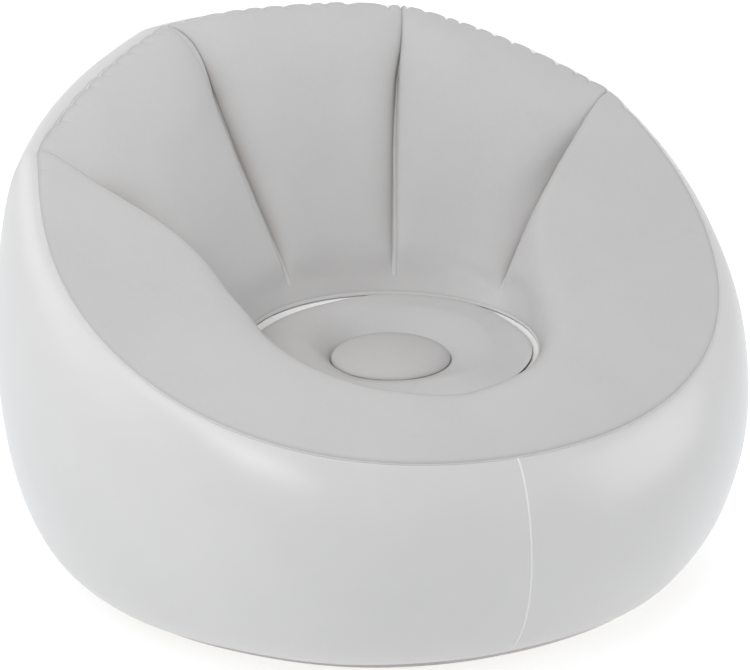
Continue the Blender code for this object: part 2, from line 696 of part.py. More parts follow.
def build_valve(wall):
    """The welded base, and the screw plug, seal ring, cap and check flap that move on it."""
    frame = valve_frame(wall)
    seat = bpy.data.objects.new("valve_seat", None)
    bpy.data.collections["inflatable_chair"].objects.link(seat)
    seat.matrix_world = frame
    boss = VALVE_BORE_RADIUS + VALVE_BOSS_WALL
    base = [
        (boss, VALVE_BOSS_HEIGHT),
        (boss, VALVE_FLANGE_THICKNESS),
        (FLANGE_RADIUS, VALVE_FLANGE_THICKNESS),
        (FLANGE_RADIUS, 0),
        (SKIRT_RADIUS, 0),
        (SKIRT_RADIUS, -VALVE_SKIRT_LENGTH),
        (VALVE_BORE_RADIUS, -VALVE_SKIRT_LENGTH),
        (VALVE_BORE_RADIUS, VALVE_BOSS_HEIGHT)]
    settle(turned("valve_base", base, TURNED_STEPS, VALVE_PLASTIC, parent=seat))
    reach = 2 * (VALVE_SKIRT_LENGTH + OVERRUN)
    cut(wall, cutter("valve_hole", SKIRT_RADIUS + VALVE_HOLE_CLEARANCE, reach, frame))

    head = VALVE_BORE_RADIUS + SEAL_WIDTH
    seal_foot = VALVE_BOSS_HEIGHT + GAP
    seal_top = seal_foot + SEAL_THICKNESS
    seal_hole = BARREL_RADIUS + GAP
    seal = [(head, seal_top), (head, seal_foot), (seal_hole, seal_foot), (seal_hole, seal_top)]
    settle(turned("valve_seal_ring", seal, TURNED_STEPS, SEAL_RUBBER, parent=seat))

    head_foot = seal_top + GAP
    head_top = head_foot + PLUG_HEAD_THICKNESS
    barrel_foot = head_foot - PLUG_BARREL_LENGTH
    plug = [
        (head, head_top),
        (head, head_foot),
        (BARREL_RADIUS, head_foot),
        (BARREL_RADIUS, barrel_foot),
        (PORT_RADIUS, barrel_foot),
        (PORT_RADIUS, head_top)]
    settle(turned("valve_plug", plug, TURNED_STEPS, VALVE_PLASTIC, parent=seat))

    build_cap(seat, head_top + GAP)
    build_flap(seat, barrel_foot - GAP)


def union_piece(name, blocks, finish, parent):
    """Join overlapping closed blocks, made by functions that fill a bmesh, into one body."""
    made = None
    for number, fill in enumerate(blocks):
        bm = bmesh.new()
        fill(bm)
        mesh = bpy.data.meshes.new(name)
        bm.to_mesh(mesh)
        bm.free()
        if made is None:
            made = add_object(name, mesh, finish, parent)
            continue
        block = add_object(f"{name}_block_{number}", mesh, parent=parent, collection="cutters")
        block.hide_render = True
        block.display_type = "WIRE"
        join = made.modifiers.new(block.name, "BOOLEAN")
        join.operation = "UNION"
        join.object = block
    settle(made)


def fill_box(low, high):
    """A function that adds a box between two corners."""
    def fill(bm):
        size = [b - a for a, b in zip(low, high)]
        middle = [(a + b) / 2 for a, b in zip(low, high)]
        bmesh.ops.create_cube(bm, size=1, matrix=Matrix.Translation(middle) @ Matrix.Diagonal((*size, 1)))
    return fill


def fill_disc(radius, low, high, middle):
    """A function that adds an upright cylinder between two heights, centred at x = middle."""
    def fill(bm):
        centre = Matrix.Translation((middle, 0, (low + high) / 2))
        bmesh.ops.create_cone(bm, cap_ends=True, segments=TURNED_STEPS, radius1=radius, radius2=radius,
                              depth=high - low, matrix=centre)
    return fill


def hinge_empty(name, seat, place_x, place_z):
    """An empty on a hinge line, which runs along the valve's local Y."""
    hinge = bpy.data.objects.new(name, None)
    bpy.data.collections["inflatable_chair"].objects.link(hinge)
    hinge.parent = seat
    hinge.location = (place_x, 0, place_z)
    return hinge


def build_cap(seat, foot):
    """The stopper cap: a lid and a spigot on a thin strap that bends just past the plug's edge."""
    reach = VALVE_BORE_RADIUS + SEAL_WIDTH + CAP_HINGE_CLEARANCE
    hinge = hinge_empty("valve_cap_hinge", seat, reach, foot)
    spigot = PORT_RADIUS - CAP_SPIGOT_CLEARANCE
    strap = CAP_STRAP_WIDTH / 2
    tab = CAP_TAB_WIDTH / 2
    tab_foot = (CAP_THICKNESS - CAP_TAB_THICKNESS) / 2
    tab_end = -reach - CAP_RADIUS - CAP_TAB_REACH
    blocks = [
        fill_disc(CAP_RADIUS, 0, CAP_THICKNESS, -reach),
        fill_disc(spigot, -CAP_SPIGOT_LENGTH, CAP_THICKNESS / 2, -reach),
        fill_box((-reach, -strap, 0), (0, strap, CAP_STRAP_THICKNESS)),
        fill_box((tab_end, -tab, tab_foot), (-reach - CAP_RADIUS / 2, tab, tab_foot + CAP_TAB_THICKNESS)),
    ]
    union_piece("valve_cap", blocks, VALVE_PLASTIC, hinge)


def build_flap(seat, top):
    """The check flap: a soft disc under the port, on a tab at its upper edge."""
    reach = FLAP_RADIUS + FLAP_TAB_LENGTH
    hinge = hinge_empty("valve_flap_hinge", seat, -reach, top)
    tab = FLAP_TAB_WIDTH / 2
    blocks = [
        fill_disc(FLAP_RADIUS, -FLAP_THICKNESS, 0, reach),
        fill_box((0, -tab, -FLAP_THICKNESS), (reach, tab, 0)),
    ]
    union_piece("valve_flap", blocks, FLAP_SILICONE, hinge)


def main():
    """Build the whole chair."""
    clear_scene()
    build_base_sheet()
    wall = build_walls()
    build_top_panels()
    build_seat()
    build_seam_webs()
    build_valve(wall)


main()
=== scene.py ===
# %% [markdown]
# # An inflatable lounge chair
#
# The chair is one air chamber of thin vinyl film. Smooth film makes the round outer wall, and a sheet
# with a flocked, velvety nap makes the top: a low front, two arms and a high back in three panels.
# Air pressure gives it every one of its curves, so each surface below is a smooth function of an
# angle round the chair and a share of the way across the film, worked out with numpy.
#
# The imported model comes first. It fixes the sizes and the moving parts, and every piece that is made
# here rides on one of its bodies.

import json
import math

import bmesh
import bpy
import numpy as np
from mathutils import Matrix, Vector


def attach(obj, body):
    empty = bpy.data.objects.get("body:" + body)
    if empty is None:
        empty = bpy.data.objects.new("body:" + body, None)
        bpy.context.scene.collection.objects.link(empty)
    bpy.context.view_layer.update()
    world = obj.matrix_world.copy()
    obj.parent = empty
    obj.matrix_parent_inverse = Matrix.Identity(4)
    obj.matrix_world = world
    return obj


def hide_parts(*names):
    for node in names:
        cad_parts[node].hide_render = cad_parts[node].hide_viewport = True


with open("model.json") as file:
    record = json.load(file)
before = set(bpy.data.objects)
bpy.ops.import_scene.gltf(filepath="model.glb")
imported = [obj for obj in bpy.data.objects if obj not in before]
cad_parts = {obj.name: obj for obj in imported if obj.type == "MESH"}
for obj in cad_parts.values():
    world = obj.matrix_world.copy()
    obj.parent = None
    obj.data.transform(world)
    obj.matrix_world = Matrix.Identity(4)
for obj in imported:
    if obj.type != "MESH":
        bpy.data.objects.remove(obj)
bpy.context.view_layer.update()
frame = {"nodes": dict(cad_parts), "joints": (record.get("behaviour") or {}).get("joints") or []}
nodes = frame["nodes"]

# %% [markdown]
# ## Plan curves
#
# Seen from above, the base, the belly and the rim are three rounded rings. Each is written as a reach
# from the middle in the direction phi, where phi is 0 at the front, 90 degrees on the picture's right
# and 180 at the back. A ring that has to pass through a front, a side and a back value is a wave of
# cos(phi) and cos(2 phi), the smoothest curve that does it.
#
# No blown-up chair is quite even, so a few places round it move the rim, the belly and the foot by
# some millimetres, each under a bell curve of the angle from that place.

# %% Plan curves
WIDTH, DEPTH = 1.02, 0.97
BELLY_SHOULDER, BASE_SHOULDER = 0.007, 0.017
SHOULDER_DEG, SHOULDER_SPREAD_DEG = 34, 20
BASE_HALF_WIDTH, BASE_HALF_DEPTH = 0.402, 0.386
RIM_REACH = (0.430, 0.444, 0.306)
RIM_HEIGHT = (0.293, 0.496, 0.705)
RIM_SWAY, RIM_CORNER, RIM_CORNER_SPREAD_DEG = 0.011, 0.023, 9
BELLY_HEIGHT = (0.162, 0.272, 0.394)
INNER_SEAM_DEG, OUTER_SEAM_DEG = 30.3, 71.5
SEAMS = {
    "right_outer": math.radians(180 - OUTER_SEAM_DEG),
    "right_inner": math.radians(180 - INNER_SEAM_DEG),
    "left_inner": math.radians(180 + INNER_SEAM_DEG),
    "left_outer": math.radians(180 + OUTER_SEAM_DEG),
}
SEAM_END_SHIFT_DEG = {"left_inner": 2.0}
QUARTER = math.pi / 2
UNEVEN_SPREAD_DEG = 24
RIM_OUT, RIM_UP, BELLY_OUT, FOOT_OUT = 1, 2, 3, 4
UNEVEN = {   # the place in degrees, then rim out, rim up, belly out and foot out in millimetres
    "front": (0, 3.5, 2, -5, 3.5),
    "front_right": (35, 1.5, -4, -13, -2.5),
    "right_arm": (70, 5, -10.5, 7.5, -7.5),
    "right_shoulder": (105, 15, -3, -9.5, 0),
    "back_right": (145, -5, -3, -2.5, 0),
    "back": (180, 3, -9.5, 0, 0),
    "back_left": (215, -4, 4, 4.5, 0),
    "left_shoulder": (250, 5, 5, 0, 2),
    "left_arm": (285, 8.5, 6.5, 6, -1),
    "front_left": (322, 13, 5, 2.5, -22),
}


def wave(phi, front, side, back):
    """A mean, plus a cos(phi) tilt and a cos(2 phi) squash, through the three given values."""
    mean = (front + back + 2 * side) / 4
    return mean + (front - back) / 2 * np.cos(phi) + (front + back - 2 * side) / 4 * np.cos(2 * phi)


def turn_gap(phi, angle):
    """The unsigned angle between phi and another angle, the short way round."""
    return np.abs((phi - angle + math.pi) % (2 * math.pi) - math.pi)


def from_back(phi):
    """The angle from the middle of the back, positive towards phi = 0 through the right side."""
    return (math.pi - phi + math.pi) % (2 * math.pi) - math.pi


def ellipse(phi, half_width, half_depth):
    """Reach of an ellipse: one over the root of the two squared shares, added."""
    return 1 / np.sqrt((np.sin(phi) / half_width) ** 2 + (np.cos(phi) / half_depth) ** 2)


def shoulders(phi):
    """A bell curve of angle on each front shoulder, where the real chair is a little fuller."""
    gap = np.abs(turn_gap(phi, 0) - math.radians(SHOULDER_DEG))
    return np.exp(-(gap / math.radians(SHOULDER_SPREAD_DEG)) ** 2)


def uneven(phi, column):
    """What the uneven places add at phi, in metres: each is a bell curve of the angle from it."""
    spread = math.radians(UNEVEN_SPREAD_DEG)
    bells = [np.exp(-(turn_gap(phi, math.radians(place_of[0])) / spread) ** 2) * place_of[column]
             for place_of in UNEVEN.values()]
    return sum(bells) / 1000


def base_reach(phi):
    """The base weld: an ellipse with the shoulders and the uneven places added."""
    even = ellipse(phi, BASE_HALF_WIDTH, BASE_HALF_DEPTH) + BASE_SHOULDER * shoulders(phi)
    return even + uneven(phi, FOOT_OUT)


def belly_reach(phi):
    """The widest line of the wall: an ellipse with the shoulders and the uneven places added."""
    even = ellipse(phi, WIDTH / 2, DEPTH / 2) + BELLY_SHOULDER * shoulders(phi)
    return even + uneven(phi, BELLY_OUT)


def rim_reach(phi):
    """The rim: a wave, with a corner that falls off exponentially on both sides of each seam."""
    spread = math.radians(RIM_CORNER_SPREAD_DEG)
    ends = [seam + math.radians(SEAM_END_SHIFT_DEG.get(name, 0)) for name, seam in SEAMS.items()]
    corners = sum(np.exp(-turn_gap(phi, end) / spread) for end in ends)
    return wave(phi, *RIM_REACH) + RIM_CORNER * corners + uneven(phi, RIM_OUT)


def rim_height(phi):
    """The rim's height: a wave with a faster climb behind the sides."""
    return wave(phi, *RIM_HEIGHT) + RIM_SWAY * (np.cos(3 * phi) - np.cos(phi)) + uneven(phi, RIM_UP)


def place(phi, reach, height):
    """Points at a reach and a height in the direction phi from the chair's axis."""
    flat = np.zeros(np.broadcast(phi, reach, height).shape)
    return np.stack([flat + reach * np.sin(phi), flat - reach * np.cos(phi), flat + height], axis=-1)


print("rim runs from", RIM_HEIGHT[0], "m at the front to", RIM_HEIGHT[2], "m at the back")

# %% [markdown]
# ## From a grid of points to a mesh
#
# Every sheet is a grid: rows across the film and columns round the chair. The quads follow from the
# grid's numbering, so no vertex is ever handled alone. Steps are drawn together at both ends of a
# stretch, because that is where a blown-up sheet turns sharply into its welds.

# %% Mesh helpers
FILM = 0.0005
LIFT = 0.0008


def graded(count, tightness=0.92):
    """Shares from 0 to 1 that crowd at both ends: u less a sine of u, so the end steps are shorter."""
    u = np.linspace(0, 1, count)
    return u - tightness / (2 * math.pi) * np.sin(2 * math.pi * u)


def unit(vectors):
    """The same vectors at length 1."""
    return vectors / np.maximum(np.linalg.norm(vectors, axis=-1, keepdims=True), 1e-12)


def grid_normals(points, closed=False):
    """Cross product of the two grid directions, by central differences."""
    along = np.gradient(points, axis=0)
    across = np.gradient(points, axis=1)
    if closed:
        across = (np.roll(points, -1, axis=1) - np.roll(points, 1, axis=1)) / 2
    return unit(np.cross(along, across))


def surface(name, points, closed=False, inside=(0, 0, -1), thickness=FILM, masks=None, hole=None):
    """A mesh from a grid of points, faces turned away from the inside point, thickened inwards.

    Quads with all four corners marked in hole are left out, and so are points that no quad uses.
    """
    rows, cols = points.shape[:2]
    index = np.arange(rows * cols).reshape(rows, cols)
    if closed:
        index = np.concatenate([index, index[:, :1]], axis=1)
    quads = np.stack([index[:-1, :-1], index[:-1, 1:], index[1:, 1:], index[1:, :-1]], axis=-1)
    quads = quads.reshape(-1, 4)
    flat = points.reshape(-1, 3)
    diagonals = np.cross(flat[quads[:, 2]] - flat[quads[:, 0]], flat[quads[:, 3]] - flat[quads[:, 1]])
    outward = flat[quads].mean(axis=1) - np.array(inside)
    if np.sum(diagonals * outward) < 0:
        quads = quads[:, ::-1]
    if hole is not None:
        quads = quads[~hole.ravel()[quads].all(axis=1)]
    used = np.unique(quads)
    quads = np.searchsorted(used, quads)
    mesh = bpy.data.meshes.new(name)
    mesh.from_pydata(flat[used].tolist(), [], quads.tolist())
    for mask, values in (masks or {}).items():
        layer = mesh.attributes.new(mask, "FLOAT", "POINT")
        spread = np.broadcast_to(values, (rows, cols)).astype(np.float32).ravel()
        layer.data.foreach_set("value", spread[used])
    mesh.shade_smooth()
    made = bpy.data.objects.new(name, mesh)
    bpy.context.scene.collection.objects.link(made)
    if thickness:
        shell = made.modifiers.new("film", "SOLIDIFY")
        shell.thickness = thickness
        shell.offset = -1
    return made


def close_poles(made):
    """Merge the points that meet in a pole."""
    bm = bmesh.new()
    bm.from_mesh(made.data)
    bmesh.ops.remove_doubles(bm, verts=bm.verts, dist=1e-6)
    bm.to_mesh(made.data)
    bm.free()


def dress(made, finish, body="chair", stands_for=()):
    """Give a piece its material, parent it to its body's empty, and hide the imported parts it stands
    for.
    """
    made.data.materials.append(finish)
    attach(made, body)
    if stands_for:
        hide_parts(*stands_for)
    print(made.name, len(made.data.polygons), "faces")
    return made


# %% [markdown]
# ## Small wrinkles without a random file
#
# Film is never perfectly even. A few sine waves with seeded directions and phases, added up, make a
# soft ripple that is the same on every run.

# %% Ripples
def ripple(points, wavelength, seed, count=9):
    """A mean of sines of position: each has its own direction, phase and nearly the given wavelength."""
    rng = np.random.default_rng(seed)
    directions = unit(rng.normal(size=(count, 3)))
    lengths = wavelength * rng.uniform(0.7, 1.5, count)
    phases = rng.uniform(0, 2 * math.pi, count)
    angles = points @ (directions / lengths[:, None]).T * 2 * math.pi + phases
    return np.sin(angles).sum(axis=-1) / math.sqrt(count)


def smooth_table(x, stops, values, width=0.06):
    """Straight lines through a table, averaged over a window so that no corner is left."""
    offsets = np.linspace(-1, 1, 9)
    weights = np.cos(offsets * QUARTER) ** 2 + 1e-3
    total = sum(w * np.interp(x + o * width, stops, values) for o, w in zip(offsets, weights))
    return total / weights.sum()


# %% [markdown]
# ## The flocked top before its details
#
# A section through the top runs from the rim down to the round seat hole. It is a cubic curve whose
# two handles change with phi: over the front and the arms the film swells up and over, and on the
# seams of the back it runs down in a valley. Between two seams a panel swells out of those valleys
# like a pillow.

# %% Sections of the flocked top
HOLE_RADIUS, HOLE_CENTRE_Y, HOLE_HEIGHT = 0.1975, -0.051, 0.3135
BAND_RUN, BAND_CLIMB, HOLE_DIP = 0.0026, 0.0048, 0.006
INNER_SEAM_FOOT_DEG, INNER_SEAM_FOOT_SHIFT_DEG, OUTER_SEAM_FOOT_DEG = 21.5, 3.3, 69.5
ARM_STATIONS_DEG = (0, 30, 55, 80, 108.5)
ARM_START_DEG = (35, 27, 8, -24, -13)
ARM_START_REACH, ARM_START_SHARES = 0.270, (0.34, 0.42, 0.50, 0.72, 1)
ARM_END_DEG = (29, 48, 74, 91, 62)
ARM_END_REACH, ARM_END_SHARES = 0.200, (0.345, 0.435, 0.56, 0.81, 1)
STATION_BLEND_DEG = 8
OUTER_SEAM_HANDLES = (-22, 0.080, 45, 0.110)
INNER_SEAM_HANDLES = (-12, 0.065, 60, 0.220)
ARM_SHOULDER_DEG = 20
BULGE_CENTRE, BULGE_SIDE = 0.025, 0.031
CROWN_POWER, CROWN_REACH, CREASE_WIDTH = 3.8, 0.88, 0.35


def hole_level(phi):
    """Height of the hole's edge: it dips a little towards the front, by half a cosine."""
    return HOLE_HEIGHT - HOLE_DIP * (1 + np.cos(phi)) / 2


def band_climb(phi):
    """How far the pressed band climbs from the hole's edge: fully at the back, not at all in front."""
    return BAND_CLIMB * (1 - np.cos(phi)) / 2


def hole_points(phi):
    """The point of the band's upper edge that the section at phi runs down to."""
    left = INNER_SEAM_FOOT_SHIFT_DEG - INNER_SEAM_FOOT_DEG
    right = INNER_SEAM_FOOT_SHIFT_DEG + INNER_SEAM_FOOT_DEG
    stations = [-180, -OUTER_SEAM_DEG, -INNER_SEAM_DEG, INNER_SEAM_DEG, OUTER_SEAM_DEG, 180]
    feet = [-180, -OUTER_SEAM_FOOT_DEG, left, right, OUTER_SEAM_FOOT_DEG, 180]
    foot = np.radians(np.interp(np.degrees(from_back(phi)), stations, feet))
    turn = math.pi - foot
    height = hole_level(turn) + band_climb(turn)
    return place(turn, HOLE_RADIUS + BAND_RUN, height) + [0, HOLE_CENTRE_Y, 0]


def section(phi, t, start_deg, start_reach, end_deg, end_reach):
    """A cubic Bezier curve from the rim (t = 0) to the hole (t = 1), in the upright plane of both."""
    rim = place(phi, rim_reach(phi), rim_height(phi) + LIFT)
    hole = hole_points(phi)
    across = hole[..., :2] - rim[..., :2]
    length = np.linalg.norm(across, axis=-1)
    start, end = np.radians(start_deg), np.radians(end_deg)
    weights = [(1 - t) ** 3, 3 * (1 - t) ** 2 * t, 3 * (1 - t) * t ** 2, t ** 3]
    runs = [0 * length, start_reach * np.cos(start), length - end_reach * np.cos(end), length]
    heights = [rim[..., 2], rim[..., 2] + start_reach * np.sin(start),
               hole[..., 2] + end_reach * np.sin(end), hole[..., 2]]
    run = sum(weight * value for weight, value in zip(weights, runs)) / length
    height = sum(weight * value for weight, value in zip(weights, heights))
    return np.concatenate([rim[..., :2] + run[..., None] * across, height[..., None]], axis=-1)


def crown(share, soft):
    """A pillow's section, 1 - (1 - d) ^ 3.8, where d runs from 0 on a seam to 1 halfway between two.

    Where soft nears 1, d is first rounded off near the seam, as the root of d^2 and a small square.
    """
    away = 1 - np.abs(2 * share - 1)
    width = CREASE_WIDTH * soft + 1e-6
    away = (np.sqrt(away ** 2 + width ** 2) - width) / (np.sqrt(1 + width ** 2) - width)
    return 1 - (1 - away) ** CROWN_POWER


def arm_handles(phi):
    """The arm section's four handle values at phi, eased from station to station."""
    angle = np.degrees(turn_gap(phi, 0))
    starts = np.array(ARM_START_SHARES) * ARM_START_REACH
    ends = np.array(ARM_END_SHARES) * ARM_END_REACH
    tables = (ARM_START_DEG, starts, ARM_END_DEG, ends)
    return [smooth_table(angle, ARM_STATIONS_DEG, table, STATION_BLEND_DEG) for table in tables]


# %% [markdown]
# ## Where the seams really run
#
# A seam is welded by hand-laid film, so it is not a plain radius. The two inner seams drift a little
# to the side on their way down, and each seam has two parts: near the rim the two panels only press
# against each other, and further down the tie web under them is welded on, which shows as a light
# strip of pressed nap with a rounded end.

# %% Seam tables
SEAM_DRIFT = {   # shares of the way down, and the drift there in degrees
    "left_inner": ([0, 0.07, 0.18, 0.275, 0.355, 0.413, 0.50, 0.58,
                    0.66, 0.74, 0.81, 0.865, 0.92, 0.96, 1],
                   [2.2, 0.4, -0.5, -0.7, -0.45, 0.0, 0.05, -0.25,
                    -0.75, -1.3, -2.0, -2.55, -3.1, -2.6, -2.2]),
    "right_inner": ([0, 0.115, 0.21, 0.295, 0.367, 0.413, 0.565, 0.695, 0.82, 0.917, 0.96, 1],
                    [0.3, 0.05, -0.15, -0.1, 0.55, 0.95, 1.1, 0.95, 0.5, -0.15, -0.5, -0.6]),
}
DRIFT_SPREAD_DEG = 13
STRIP_SPAN = {"right_outer": (0.325, 0.925), "right_inner": (0.412, 0.967),
              "left_inner": (0.4135, 0.965), "left_outer": (0.325, 0.925)}
STRIP_HALF_WIDTHS = (0.0015, 0.0034)


def drifted(phi, t):
    """phi plus each seam's drift at t, under a bell curve of the angle from that seam."""
    moved = phi + 0 * t
    for name, (stops, drifts) in SEAM_DRIFT.items():
        near = np.exp(-(turn_gap(phi, SEAMS[name]) / math.radians(DRIFT_SPREAD_DEG)) ** 2)
        moved = moved + near * np.radians(smooth_table(t, stops, drifts))
    return moved


def smooth_step(x, low, high):
    """0 before low, 1 after high, and a cubic ease between them."""
    u = np.clip((x - low) / (high - low), 0, 1)
    return u * u * (3 - 2 * u)


def seam_soft(t):
    """How far the crease has opened into one smooth surface: none on the strip, all at the hole."""
    return smooth_step(t, 0.90, 1.0)


def top_base(phi, t):
    """The top before its panels swell: arms in front, seam valleys behind, joined over the shoulder."""
    back = np.degrees(np.abs(from_back(phi)))
    arm = section(phi, t, *arm_handles(phi))
    seams = [INNER_SEAM_DEG, OUTER_SEAM_DEG]
    valley = section(phi, t, *(np.interp(back, seams, pair)
                               for pair in zip(INNER_SEAM_HANDLES, OUTER_SEAM_HANDLES)))
    shoulder = np.clip((back - OUTER_SEAM_DEG) / ARM_SHOULDER_DEG, 0, 1) / 2
    weight = crown(shoulder, seam_soft(t))[..., None]
    return valley * (1 - weight) + arm * weight


def top_normals(phi, t):
    """Unit normals of the unswelled top, from small steps in both directions."""
    step = 1e-4
    along = top_base(phi, np.minimum(t + step, 1)) - top_base(phi, np.maximum(t - step, 0))
    round_about = top_base(phi + step, t) - top_base(phi - step, t)
    normals = unit(np.cross(along, round_about))
    return normals * np.sign(normals[..., 2:3])


def swell(phi, t):
    """Height of the back panels over their valleys: a crown across, and half a sine down the panel."""
    back = np.degrees(from_back(phi))
    side = np.abs(back) > INNER_SEAM_DEG
    side_share = (np.abs(back) - INNER_SEAM_DEG) / (OUTER_SEAM_DEG - INNER_SEAM_DEG)
    centre_share = (back + INNER_SEAM_DEG) / (2 * INNER_SEAM_DEG)
    share = np.clip(np.where(side, side_share, centre_share), 0, 1)
    height = np.where(side, BULGE_SIDE, BULGE_CENTRE)
    return height * crown(share, seam_soft(t)) * np.sin(math.pi * t ** CROWN_REACH)


# %% [markdown]
# ## Rolls, puckers and tucks
#
# Four details make a blown-up sheet look like one. Along a weld the sheet leaves the weld steeply
# and rolls over within a few millimetres. Along the back's rim the curved weld is too long for the
# flat sheet, so sharp notches gather it, and it stands up in a small scallop between each two. Beside
# a seam each panel rolls down into the crease, slowly on the side nearer the back's middle and
# steeply on the other. On the slow side the colour carries a darker painted shade, in the shade mask.

# %% Puckers along the rim
PUCKER_POWER, PUCKER_END_DEG = 4.0, 0.8
GATHER_DEPTH, GATHER_IN, GATHER_FADE = 0.0056, 0.5, 0.013
BACK_RIM_DEG = (80, 68)
PUCKERS_DEG = np.array([
    104.3, 108.5, 111.7, 114.1, 117.4, 121.95, 126.0, 129.55, 132.95, 136.7, 139.55, 144.4, 148.6,
    150.1, 152.9, 163.8, 170.1, 174.2, 181.8, 187.8, 192.9, 198.1, 203.0, 206.6, 210.3, 212.3, 214.9,
    219.5, 224.1, 227.9, 232.4, 236.1, 240.8, 244.95, 251.5, 255.7])
PUCKER_SHARES = np.array([
    0.40, 0.90, 0.75, 0.70, 0.85, 0.95, 0.85, 0.90, 0.80, 0.75, 0.70, 0.50, 0.70,
    0.90, 0.85, 0.90, 0.85, 0.70, 0.90, 0.85, 0.90, 0.85, 0.80, 0.70, 0.90, 0.50, 0.45,
    0.55, 0.50, 0.55, 0.50, 0.55, 0.50, 0.50, 0.90, 0.40])


def pucker(phi):
    """The notch share times |2 u - 1| ^ 4, where u runs from one notch to the next."""
    angle = np.degrees(phi) % 360
    upper = np.clip(np.searchsorted(PUCKERS_DEG, angle), 1, len(PUCKERS_DEG) - 1)
    low, high = PUCKERS_DEG[upper - 1], PUCKERS_DEG[upper]
    u = np.clip((angle - low) / (high - low), 0, 1)
    share = np.interp(angle, PUCKERS_DEG, PUCKER_SHARES)
    outside = np.minimum(np.abs(angle - PUCKERS_DEG[0]), np.abs(angle - PUCKERS_DEG[-1]))
    within = (angle > PUCKERS_DEG[0]) & (angle < PUCKERS_DEG[-1])
    scallop = np.abs(2 * u - 1) ** PUCKER_POWER
    return share * np.where(within, scallop, np.exp(-outside / PUCKER_END_DEG))


def gather(points, phi, from_rim):
    """Draw the sheet down and inwards at each notch, under a bell curve of the distance from the rim."""
    depth = GATHER_DEPTH * pucker(phi) * np.exp(-(from_rim / GATHER_FADE) ** 2)
    inwards = place(phi, -GATHER_IN, -1.0)
    return points + depth[..., None] * inwards


def behind(phi):
    """1 along the back's rim and 0 along the front and the arms, with a short ease between."""
    return smooth_step(np.abs(np.degrees(from_back(phi))), *BACK_RIM_DEG)


print(len(PUCKERS_DEG), "notches along the back's rim")

# %% The finished flocked top
ROLL_FRONT, ROLL_BACK = 0.0030, 0.0060
ROLL_STEEP, ROLL_FADE = 0.0022, 0.055
PUCKER_FADE, NOTCH_SHARE = 0.012, 0.7
TUCK_FADE, TUCK_START, TUCK_STOP, WIDE_TUCK_SPAN = 0.045, 0.006, 0.06, (0.20, 0.45)
SLOW_TUCKS = ((0.0030, 0.0030), (0.0095, 0.0140))    # narrow and wide: size and near distance
STEEP_TUCKS = ((0.0040, 0.0022), (0.0040, 0.0080))
# Painted shade: depth and reach of the dark crease line along the rim, the back's rim and the hole.
RIM_CREASE, BACK_RIM_CREASE, HOLE_CREASE = (0.35, 0.0035), (0.15, 0.007), (0.55, 0.0010)
LINE_WIDTH, LINE_STOP, STRIP_LIGHTER = 0.0008, 0.03, (0.6, 0.1)
# Painted shade beside each seam on its slow side, and low in the back near the hole.
SEAM_SHADE = {"left_outer": (0.50, 0.025), "left_inner": (0.40, 0.0085),    # depth and reach
              "right_inner": (0.22, 0.018), "right_outer": (0.13, 0.035)}
SHADE_START, SHADE_STOP = (0.22, 0.42), (0.80, 0.97)
DEEP_SHADE, DEEP_SPREAD, DEEP_SPAN = 0.09, math.radians(50), (0.84, 0.98)
TOP_RIPPLE, TOP_RIPPLE_LENGTH, RIPPLE_EASE = 0.0005, 0.11, 0.02


def arc_length(points):
    """Running length down each column of a grid."""
    steps = np.linalg.norm(np.diff(points, axis=0), axis=-1)
    return np.concatenate([np.zeros((1, points.shape[1])), np.cumsum(steps, axis=0)])


def strip_half_width(name, t):
    """Half the weld strip's width: 0 above its start, then widening steadily to its end."""
    start, end = STRIP_SPAN[name]
    share = np.clip((t - start) / (end - start), 0, 1)
    width = STRIP_HALF_WIDTHS[0] + (STRIP_HALF_WIDTHS[1] - STRIP_HALF_WIDTHS[0]) * share
    begun, ended = (smooth_step(t, end_at - 0.004, end_at + 0.004) for end_at in (start, end))
    return width * begun * (1 - ended)


def seam_details(phi, t, from_rim, name):
    """What one seam adds: the height of its tucks, and two masks of painted shade: crease and shade.

    A tuck is exp(-d / fade) - exp(-d / near), which is 0 on the seam, rises at once and is gone
    further off. d is the true distance from the strip's edge in metres.
    """
    rows, seam = t[:, :1], SEAMS[name]
    column, step = np.full(rows.shape, seam), 1e-3
    ahead, before = (top_base(drifted(column + turn, rows), rows) for turn in (step, -step))
    metric = np.linalg.norm(ahead - before, axis=-1) / (2 * step)
    edge = turn_gap(phi, seam) * metric - strip_half_width(name, rows)
    past = np.sqrt(np.maximum(edge, 0) ** 2 + 1e-9)
    start, end = STRIP_SPAN[name]
    inner = turn_gap(phi, math.pi) < turn_gap(seam, math.pi)
    tuck = (1 - smooth_step(rows, end - TUCK_STOP, end)) * (1 - np.exp(-from_rim / TUCK_START))
    height = 0
    for slow, steep, share in zip(SLOW_TUCKS, STEEP_TUCKS, (1, smooth_step(rows, *WIDE_TUCK_SPAN))):
        size, near = (np.where(inner, *pair) for pair in zip(slow, steep))
        height = height + share * size * tuck * (np.exp(-past / TUCK_FADE) - np.exp(-past / near))
    # Painted shade: a dark line down the seam, fainter on the weld strip.
    line = np.exp(-np.abs(edge) / LINE_WIDTH) * (1 - smooth_step(rows, end - LINE_STOP, end))
    lighter, ease = STRIP_LIGHTER
    line = line * (1 - lighter * smooth_step(rows, start, start + ease))
    # Painted shade on the seam's slow side, fading with the distance from the seam.
    depth, reach = SEAM_SHADE[name]
    span = smooth_step(rows, *SHADE_START) * (1 - smooth_step(rows, *SHADE_STOP))
    return height, line, np.where(inner, depth * span * np.exp(-past / reach), 0)


